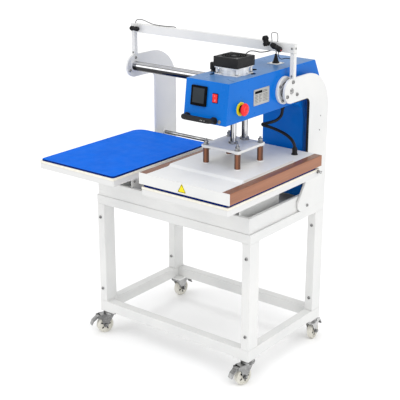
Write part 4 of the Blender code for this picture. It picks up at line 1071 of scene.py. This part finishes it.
def dress_rating_plate():
    """A rating plate without lettering: a dark band and three columns of plain bars."""
    centre = Vector((ARM_HIGH.x, -0.163, 1.1665))
    matrix = Matrix.Translation(centre) @ Matrix(((0, 0, 1, 0), (1, 0, 0, 0), (0, 1, 0, 0), (0, 0, 0, 1)))
    plate = bmesh.new()
    add_slab(plate, rounded(0.102, 0.061, 0.003, 4), 0.0002, 0.0012, matrix, 0.0003)
    new_piece("rating_plate", plate, "rating_plate", "head")
    print_work = bmesh.new()
    add_box(print_work, (-0.043, 0.0135, 0.0011), (0.004, 0.0235, 0.0014), 0.0, matrix)
    add_box(print_work, (0.008, 0.0145, 0.0011), (0.036, 0.0160, 0.0014), 0.0, matrix)
    add_box(print_work, (0.008, 0.0195, 0.0011), (0.036, 0.0210, 0.0014), 0.0, matrix)
    for row in range(6):
        v = 0.0070 - 0.0055 * row
        add_box(print_work, (-0.043, v, 0.0011), (-0.026 + 0.003 * (row % 2), v + 0.0013, 0.0014), 0.0,
                matrix)
        add_box(print_work, (-0.016, v, 0.0011), (0.002 - 0.004 * (row % 3), v + 0.0013, 0.0014), 0.0, matrix)
        add_box(print_work, (0.010, v, 0.0011), (0.038, v + 0.0010, 0.0014), 0.0, matrix)
    new_piece("rating_plate_bars", print_work, "recess_dark", "head")
    rivets = bmesh.new()
    for u in (-0.0475, 0.0475):
        for v in (-0.027, 0.027):
            place = matrix @ Vector((u, v, 0.0012))
            add_lathe(rivets, [(0, 0.0009), (0.0012, 0.0007), (0.0019, 0.0), (0, 0.0)], at(place, (1, 0, 0)),
                      14)
    new_piece("rating_plate_rivets", rivets, "screw_steel", "head")


def dress_handle():
    """Bow handle: a squarish grip swelling in the middle, with screwed feet on the arm's front."""
    half = 0.0615
    reach = 0.033
    place = on_front(0.2515, 1.1080)
    path = [(-half, 0.0, 0.0003), (-half, 0.0, 0.008), (-half + 0.0005, 0.0, reach - 0.017)]
    for step in range(1, 8):
        angle = math.radians(90 * step / 8)
        path.append((-half + 0.014 * (1 - math.cos(angle)), 0.0, reach - 0.014 * (1 - math.sin(angle))))
    middle = [(-half + 0.014 + (2 * half - 0.028) * step / 8, 0.0, reach) for step in range(9)]
    points = path + middle + [(-x, y, z) for x, y, z in reversed(path)]
    total = len(points)

    def swell(index):
        share = abs(index - (total - 1) / 2) / ((total - 1) / 2)
        return 1.0 - 0.08 * share ** 3
    grip = bmesh.new()
    add_tube(grip, points, 0.0103, 16, swell)
    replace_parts(new_piece("bow_handle", grip, "black_plastic", "head", place=place), "front_handle")
    feet = bmesh.new()
    for x in (-half, half):
        add_slab(feet, rounded(0.027, 0.025, 0.008, 5, (x, 0)), 0.0002, 0.0036, None, 0.0010)
    new_piece("handle_feet", feet, "black_plastic", "head", place=place)
    screws = bmesh.new()
    for x in (0.0305, 0.0370, 0.0480):
        add_lathe(screws, [(0, 0.0007), (0.0016, 0.0006), (0.0022, 0.0), (0, 0.0)],
                  at((x, 0.0, reach + 0.0100)), 12)
    new_piece("handle_studs", screws, "screw_steel", "head", place=place)


def around_press(offset):
    """The four corners of a square around the press's axis."""
    return [(HEAD_X + side_x * offset, PRESS_Y + side_y * offset) for side_x in (-1, 1) for side_y in (-1, 1)]


def dress_actuator():
    nuts = bmesh.new()
    rods = bmesh.new()
    for x, y in around_press(TIE_ROD_OFFSET):
        hex_bolt(nuts, (x, y, ARM_TOP + 0.0043), UP, 0.0085, 0.0040, 0.0062)
        add_tube(rods, [(x, y, ARM_TOP + 0.008), (x, y, 1.2712)], 0.0046, 14)
    new_piece("tie_rod_nuts", nuts, "bright_steel", "head")
    new_piece("tie_rods", rods, "machined_alloy", "head")
    rings = bmesh.new()
    for z in (ARM_TOP + 0.0100, 1.2655):
        add_lathe(rings, [(0.0556, z + 0.0014), (0.0562, z + 0.0010), (0.0562, z - 0.0010),
                          (0.0556, z - 0.0014),
                          (0.0556, z + 0.0014)], Matrix.Translation((HEAD_X, PRESS_Y, 0)), 64)
    new_piece("actuator_rings", rings, "machined_alloy", "head")
    ports = bmesh.new()
    hex_bolt(ports, (HEAD_X + 0.0553, PRESS_Y + 0.004, 1.2580), (1, 0, 0), 0.0085, 0.0030, 0.0045)
    new_piece("actuator_port", ports, "machined_alloy", "head")


def dress_fan():
    low, high = low_high("fan_housing")
    top = high.z
    centre = Vector((HEAD_X, PRESS_Y, top))
    guard = bmesh.new()
    for radius in (0.011, 0.020, 0.029, 0.038, 0.0465):
        rings = []
        for x, y in circle(1.0, 36):
            out = Vector((x, y, 0))
            wire = centre + out * radius - UP * 0.0008
            rings.append([wire + out * u + UP * v for u, v in circle(0.0011, 6)])
        add_loft(guard, rings, closed=True)
    for step in range(4):
        angle = math.radians(45 + 90 * step)
        direction = Vector((math.cos(angle), math.sin(angle), 0))
        add_tube(guard, [centre + direction * reach + UP * height for reach, height in (
            (0.009, -0.0024), (0.053, -0.0024), (0.064, 0.0002))], 0.0013, 8)
    add_lathe(guard, [(0, -0.0002), (0.0085, -0.0002), (0.0095, -0.0012), (0.0095, -0.0030), (0, -0.0030)],
              Matrix.Translation(centre), 24)
    new_piece("fan_guard", guard, "black_plastic", "head")
    screws = bmesh.new()
    for x, y in around_press(0.0465):
        socket_screw(screws, (x, y, top), UP, 0.0030, 0.0014)
    new_piece("fan_screws", screws, "screw_steel", "head")
    ribs = bmesh.new()
    for x, y in around_press(0.0538):
        add_tube(ribs, [(x, y, low.z + 0.0006), (x, y, top - 0.0006)], 0.0016, 8)
    for side in (-1, 1):
        add_box(ribs, (HEAD_X - 0.049, PRESS_Y + side * 0.0552 - 0.0003, low.z + 0.004),
                (HEAD_X + 0.049, PRESS_Y + side * 0.0552 + 0.0003, low.z + 0.0062), 0.0001)
        add_box(ribs, (HEAD_X + side * 0.0552 - 0.0003, PRESS_Y - 0.049, low.z + 0.004),
                (HEAD_X + side * 0.0552 + 0.0003, PRESS_Y + 0.049, low.z + 0.0062), 0.0001)
    new_piece("fan_housing_ribs", ribs, "black_plastic", "head")


def dress_knob():
    place = Vector((0.187, -0.225, ARM_TOP + 0.0003))
    knob = bmesh.new()
    count = 96
    rings = []
    for height, radius, ribbed in ((0.0, 0.0084, 0), (0.0088, 0.0084, 0), (0.0092, 0.0118, 0),
                                   (0.0102, 0.0123, 1),
                                   (0.0320, 0.0123, 1), (0.0340, 0.0116, 0), (0.0356, 0.0100, 0),
                                   (0.0358, 0.0080, 0)):
        ring = []
        for i, (u, v) in enumerate(circle(1.0, count)):
            size = radius - (0.0007 if ribbed and i % 4 < 2 else 0.0)
            ring.append(place + Vector((size * u, size * v, height)))
        rings.append(ring)
    add_loft(knob, rings, capped=True)
    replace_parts(new_piece("ribbed_knob", knob, "black_plastic", "pressure_knob"), "pressure_knob")
    nut = bmesh.new()
    add_lathe(nut, [(0.0086, 0.0040), (0.0108, 0.0040), (0.0114, 0.0034), (0.0114, 0.0), (0.0086, 0.0),
                    (0.0086, 0.0040)], at(place), steps=6)
    new_piece("knob_lock_nut", nut, "screw_steel", "head")


def dress_bearing():
    low, high = low_high("slide_bearing")
    bolts = bmesh.new()
    # dark arcs and a dark ring on each face of the bearing where it has grooves: painted shade
    groove_shade = bmesh.new()
    for side, face in ((-1, low.x), (1, high.x)):
        out = (side, 0, 0)
        for step in range(4):
            angle = math.radians(62 + 90 * step)
            place = (face, SHAFT_Y + 0.0435 * math.cos(angle), SHAFT_Z + 0.0435 * math.sin(angle))
            socket_screw(bolts, place, out, 0.0062, 0.0046, 18)
        for step in range(4):
            start = 62 + 90 * step + 18
            for index in range(5):
                a0 = math.radians(start + 10.6 * index)
                a1 = math.radians(start + 10.6 * (index + 1) - (1.6 if index % 2 else 0.0))
                corners = []
                for radius, angle in ((0.0300, a0), (0.0335, a0), (0.0335, a1), (0.0300, a1)):
                    corners.append((SHAFT_Y + radius * math.cos(angle), SHAFT_Z + radius * math.sin(angle)))
                add_loft(groove_shade, [[(face + side * rise, y, z) for y, z in corners] for rise in (-0.0010,
                                                                                                 0.0006)],
                         capped=True)
        add_lathe(groove_shade, [(0.0204, 0.0010), (0.0226, 0.0010), (0.0230, 0.0006), (0.0230, 0.0),
                            (0.0204, 0.0),
                            (0.0204, 0.0010)], at((face, SHAFT_Y, SHAFT_Z), out), 40)
    new_piece("bearing_bolts", bolts, "screw_steel", "head")
    new_piece("bearing_groove_shade", groove_shade, "recess_dark", "head")


# ------------------------------------------------------------------ press
def dress_press():
    low, high = low_high("press_plate")
    top = high.z
    bottom = low.z
    nuts = bmesh.new()
    washers = bmesh.new()
    for x, y in around_press(SPACER_OFFSET):
        hex_bolt(nuts, (x, y, top), UP, 0.0165, 0.0085, 0.0120, 11)
        hex_bolt(nuts, (x, y, top + 0.0101), UP, 0.0155, 0.0060, None, 38)
        add_tube(nuts, [(x, y, top + 0.015), (x, y, top + 0.0225)], 0.0046, 14)
        add_lathe(washers, [(0.0117, 0.0026), (0.0160, 0.0026), (0.0172, 0.0018), (0.0172, 0.0),
                            (0.0117, 0.0),
                            (0.0117, 0.0026)], at((x, y, SPACER_FOOT_Z)), 28)
        add_lathe(washers, [(0.0117, -0.0024), (0.0138, -0.0024), (0.0144, -0.0016), (0.0144, 0.0),
                            (0.0117, 0.0),
                            (0.0117, -0.0024)], at((x, y, bottom)), 28)
    new_piece("press_plate_nuts", nuts, "screw_steel", "press")
    new_piece("spacer_washers", washers, "machined_alloy", "press")
    collars = bmesh.new()
    for y in (PRESS_Y, PRESS_Y + 0.0735):
        add_lathe(collars, [(0.0117, 0.0100), (0.0170, 0.0100), (0.0182, 0.0088), (0.0182, 0.0012),
                            (0.0192, 0.0),
                            (0.0117, 0.0), (0.0117, 0.0100)], at((HEAD_X, y, top + RAISED)), 36)
    new_piece("rod_collars", collars, "bright_steel", "press")
    # plain yellow triangle on the front
    sign = bmesh.new()
    front = low_high("platen_cover")[0].y
    matrix = Matrix.Translation((0.2640, front, 0.8690)) @ Matrix.Rotation(math.radians(90), 4, "X")
    corner = []
    for step in range(3):
        turn = math.radians(90 + 120 * step)
        for offset in (-55, -25, 0, 25, 55):
            angle = turn + math.radians(offset)
            corner.append((0.0185 * math.cos(turn) + 0.0022 * math.cos(angle),
                           0.0185 * math.sin(turn) + 0.0022 * math.sin(angle)))
    add_slab(sign, corner, 0.0001, 0.0006, matrix, 0.0001, 1)
    new_piece("hot_surface_sign", sign, "stop_yellow", "press")
    border = bmesh.new()
    outer = [(u * 0.93, v * 0.93) for u, v in corner]
    inner = [(u * 0.80, v * 0.80) for u, v in corner]
    add_loft(border, [raised_outline(matrix, outline, height) for outline, height in (
        (outer, 0.0006), (outer, 0.0008), (inner, 0.0008), (inner, 0.0006))], closed=True)
    new_piece("hot_surface_sign_border", border, "recess_dark", "press")
    # wing screws that hold the rear ends of the strips
    wings = bmesh.new()
    for side in (-1, 1):
        x = HEAD_X + side * 0.1925
        add_lathe(wings, [(0, 0.0090), (0.0034, 0.0090), (0.0042, 0.0080), (0.0042, 0.0012), (0.0066, 0.0010),
                          (0.0066, 0.0), (0, 0.0)], at((x, 0.1046, 0.8640), (0, 1, 0)), 18)
        for wing in (-1, 1):
            loop = [(x + wing * (0.0030 + 0.0058 * math.sin(a)), 0.1108,
                     0.8640 + 0.0052 * math.cos(a) - 0.0052 * wing)
                    for a in [math.radians(20 + 320 * i / 14) for i in range(15)]]
            add_tube(wings, loop, 0.0012, 8)
    new_piece("strip_wing_screws", wings, "screw_steel", "press")


# ------------------------------------------------------------------ leads
FAN_LEAD_ROUTE = [
    (0.2700, -0.1480, 1.3020), (0.2700, -0.1430, 1.3025), (0.2708, -0.1310, 1.3100),
                  (0.2720, -0.1100, 1.3160),
    (0.2740, -0.0800, 1.3120), (0.2770, -0.0500, 1.3040), (0.2800, -0.0200, 1.3010), (0.2830, 0.0100, 1.3010),
    (0.2850, 0.0340, 1.3010), (0.2860, 0.0480, 1.2940), (0.2860, 0.0480, 1.2848),
]
CONDUIT_ROUTE = [
    (0.3200, 0.0520, 1.0925), (0.3200, 0.0520, 1.0740), (0.3205, 0.0500, 1.0560), (0.3190, 0.0420, 1.0400),
    (0.3125, 0.0240, 1.0275), (0.3000, 0.0045, 1.0210), (0.2830, -0.0070, 1.0155), (0.2660, -0.0030, 1.0090),
    (0.2550, 0.0160, 1.0000), (0.2575, 0.0405, 0.9905), (0.2735, 0.0575, 0.9810), (0.2995, 0.0660, 0.9720),
    (0.3310, 0.0655, 0.9625), (0.3600, 0.0585, 0.9510), (0.3800, 0.0500, 0.9370), (0.3870, 0.0460, 0.9210),
    (0.3877, 0.0450, 0.9080), (0.3877, 0.0450, 0.8955),
]
LEFT_LASER_LEAD_ROUTE = [
    (-0.3920, -0.0060, 1.3438), (-0.3920, -0.0060, 1.3490), (-0.3890, -0.0060, 1.3550),
                         (-0.3800, -0.0060, 1.3600),
    (-0.3650, -0.0060, 1.3615), (-0.3450, -0.0060, 1.3595), (-0.3200, -0.0060, 1.3530),
                         (-0.2950, -0.0060, 1.3480),
    (-0.2600, -0.0060, 1.3465), (-0.2250, -0.0050, 1.3465), (-0.2000, -0.0010, 1.3470),
                         (-0.1880, 0.0070, 1.3450),
    (-0.1830, 0.0110, 1.3370), (-0.1822, 0.0110, 1.3290), (-0.1820, 0.0085, 1.3262),
                         (-0.1820, 0.0055, 1.3260),
]
RIGHT_LASER_LEAD_ROUTE = [
    (0.3350, -0.0100, 1.3073), (0.3350, -0.0100, 1.3000), (0.3365, -0.0100, 1.2895),
                          (0.3410, -0.0095, 1.2820),
    (0.3480, -0.0090, 1.2795), (0.3560, -0.0080, 1.2810), (0.3650, -0.0070, 1.2838),
                          (0.3780, -0.0060, 1.2850),
    (0.3914, -0.0060, 1.2850),
]


def make_lead(name, route, radius, body, node):
    """A limp thin wire that goes back into the machine."""
    points, length = smooth_route(route, radius * 2.5)
    lead = bmesh.new()
    add_tube(lead, points, radius, 10)
    piece = new_piece(name, lead, "black_plastic", body)
    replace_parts(piece, node)


def make_leads():
    make_lead("fan_wire", FAN_LEAD_ROUTE, 0.0020, "head", "fan_lead")
    make_lead("laser_wire_left", LEFT_LASER_LEAD_ROUTE, 0.0016, "stand", "laser_lead_left")
    make_lead("laser_wire_right", RIGHT_LASER_LEAD_ROUTE, 0.0016, "stand", "laser_lead_right")


def make_conduit():
    """Corrugated conduit from the arm to the heating platen."""
    radius = 0.0065
    pitch = 0.0030
    points, length = smooth_route(CONDUIT_ROUTE, pitch / 2)
    bm = bmesh.new()
    add_tube(bm, points, radius, 14, lambda index: 1.0 if index % 2 else 0.86)
    conduit = new_piece("corrugated_conduit", bm, "black_plastic")
    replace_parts(conduit, "conduit")
    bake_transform(conduit)


def make_conduit_cuffs():
    """Tapered cuffs where the conduit leaves the arm and where it enters the platen's cover."""
    foot = bmesh.new()
    profile = [(0.0068, 0.0300), (0.0080, 0.0296), (0.0098, 0.0262), (0.0106, 0.0230)]
    for step in range(4):
        height = 0.0215 - 0.0042 * step
        profile += [(0.0108, height), (0.0101, height - 0.0014), (0.0101, height - 0.0028)]
    profile += [(0.0110, 0.0040), (0.0132, 0.0034), (0.0134, 0.0004), (0.0068, 0.0004), (0.0068, 0.0300)]
    x, y = CONDUIT_ROUTE[-1][:2]
    add_lathe(foot, profile, at((x, y, 0.8950)), 28)
    new_piece("conduit_foot_cuff", foot, "black_plastic", "press")
    top = bmesh.new()
    x, y = CONDUIT_ROUTE[0][:2]
    add_lathe(top, [(0.0068, 0.0260), (0.0078, 0.0256), (0.0092, 0.0180), (0.0100, 0.0060), (0.0118, 0.0052),
                    (0.0120, 0.0004), (0.0068, 0.0004), (0.0068, 0.0260)],
              at((x, y, ARM_BOTTOM), (0, 0, -1)), 28)
    new_piece("conduit_arm_cuff", top, "black_plastic", "head")


make_camera()
make_floor()
make_studio()
make_leads()
make_conduit()
make_conduit_cuffs()
dress_stand()
dress_casters()
dress_tray()
dress_side_plates()
dress_beam()
dress_lasers()
dress_stations()
dress_arm()
dress_screen()
dress_rocker()
dress_stop()
dress_rating_plate()
dress_handle()
dress_actuator()
dress_fan()
dress_knob()
dress_bearing()
dress_press()
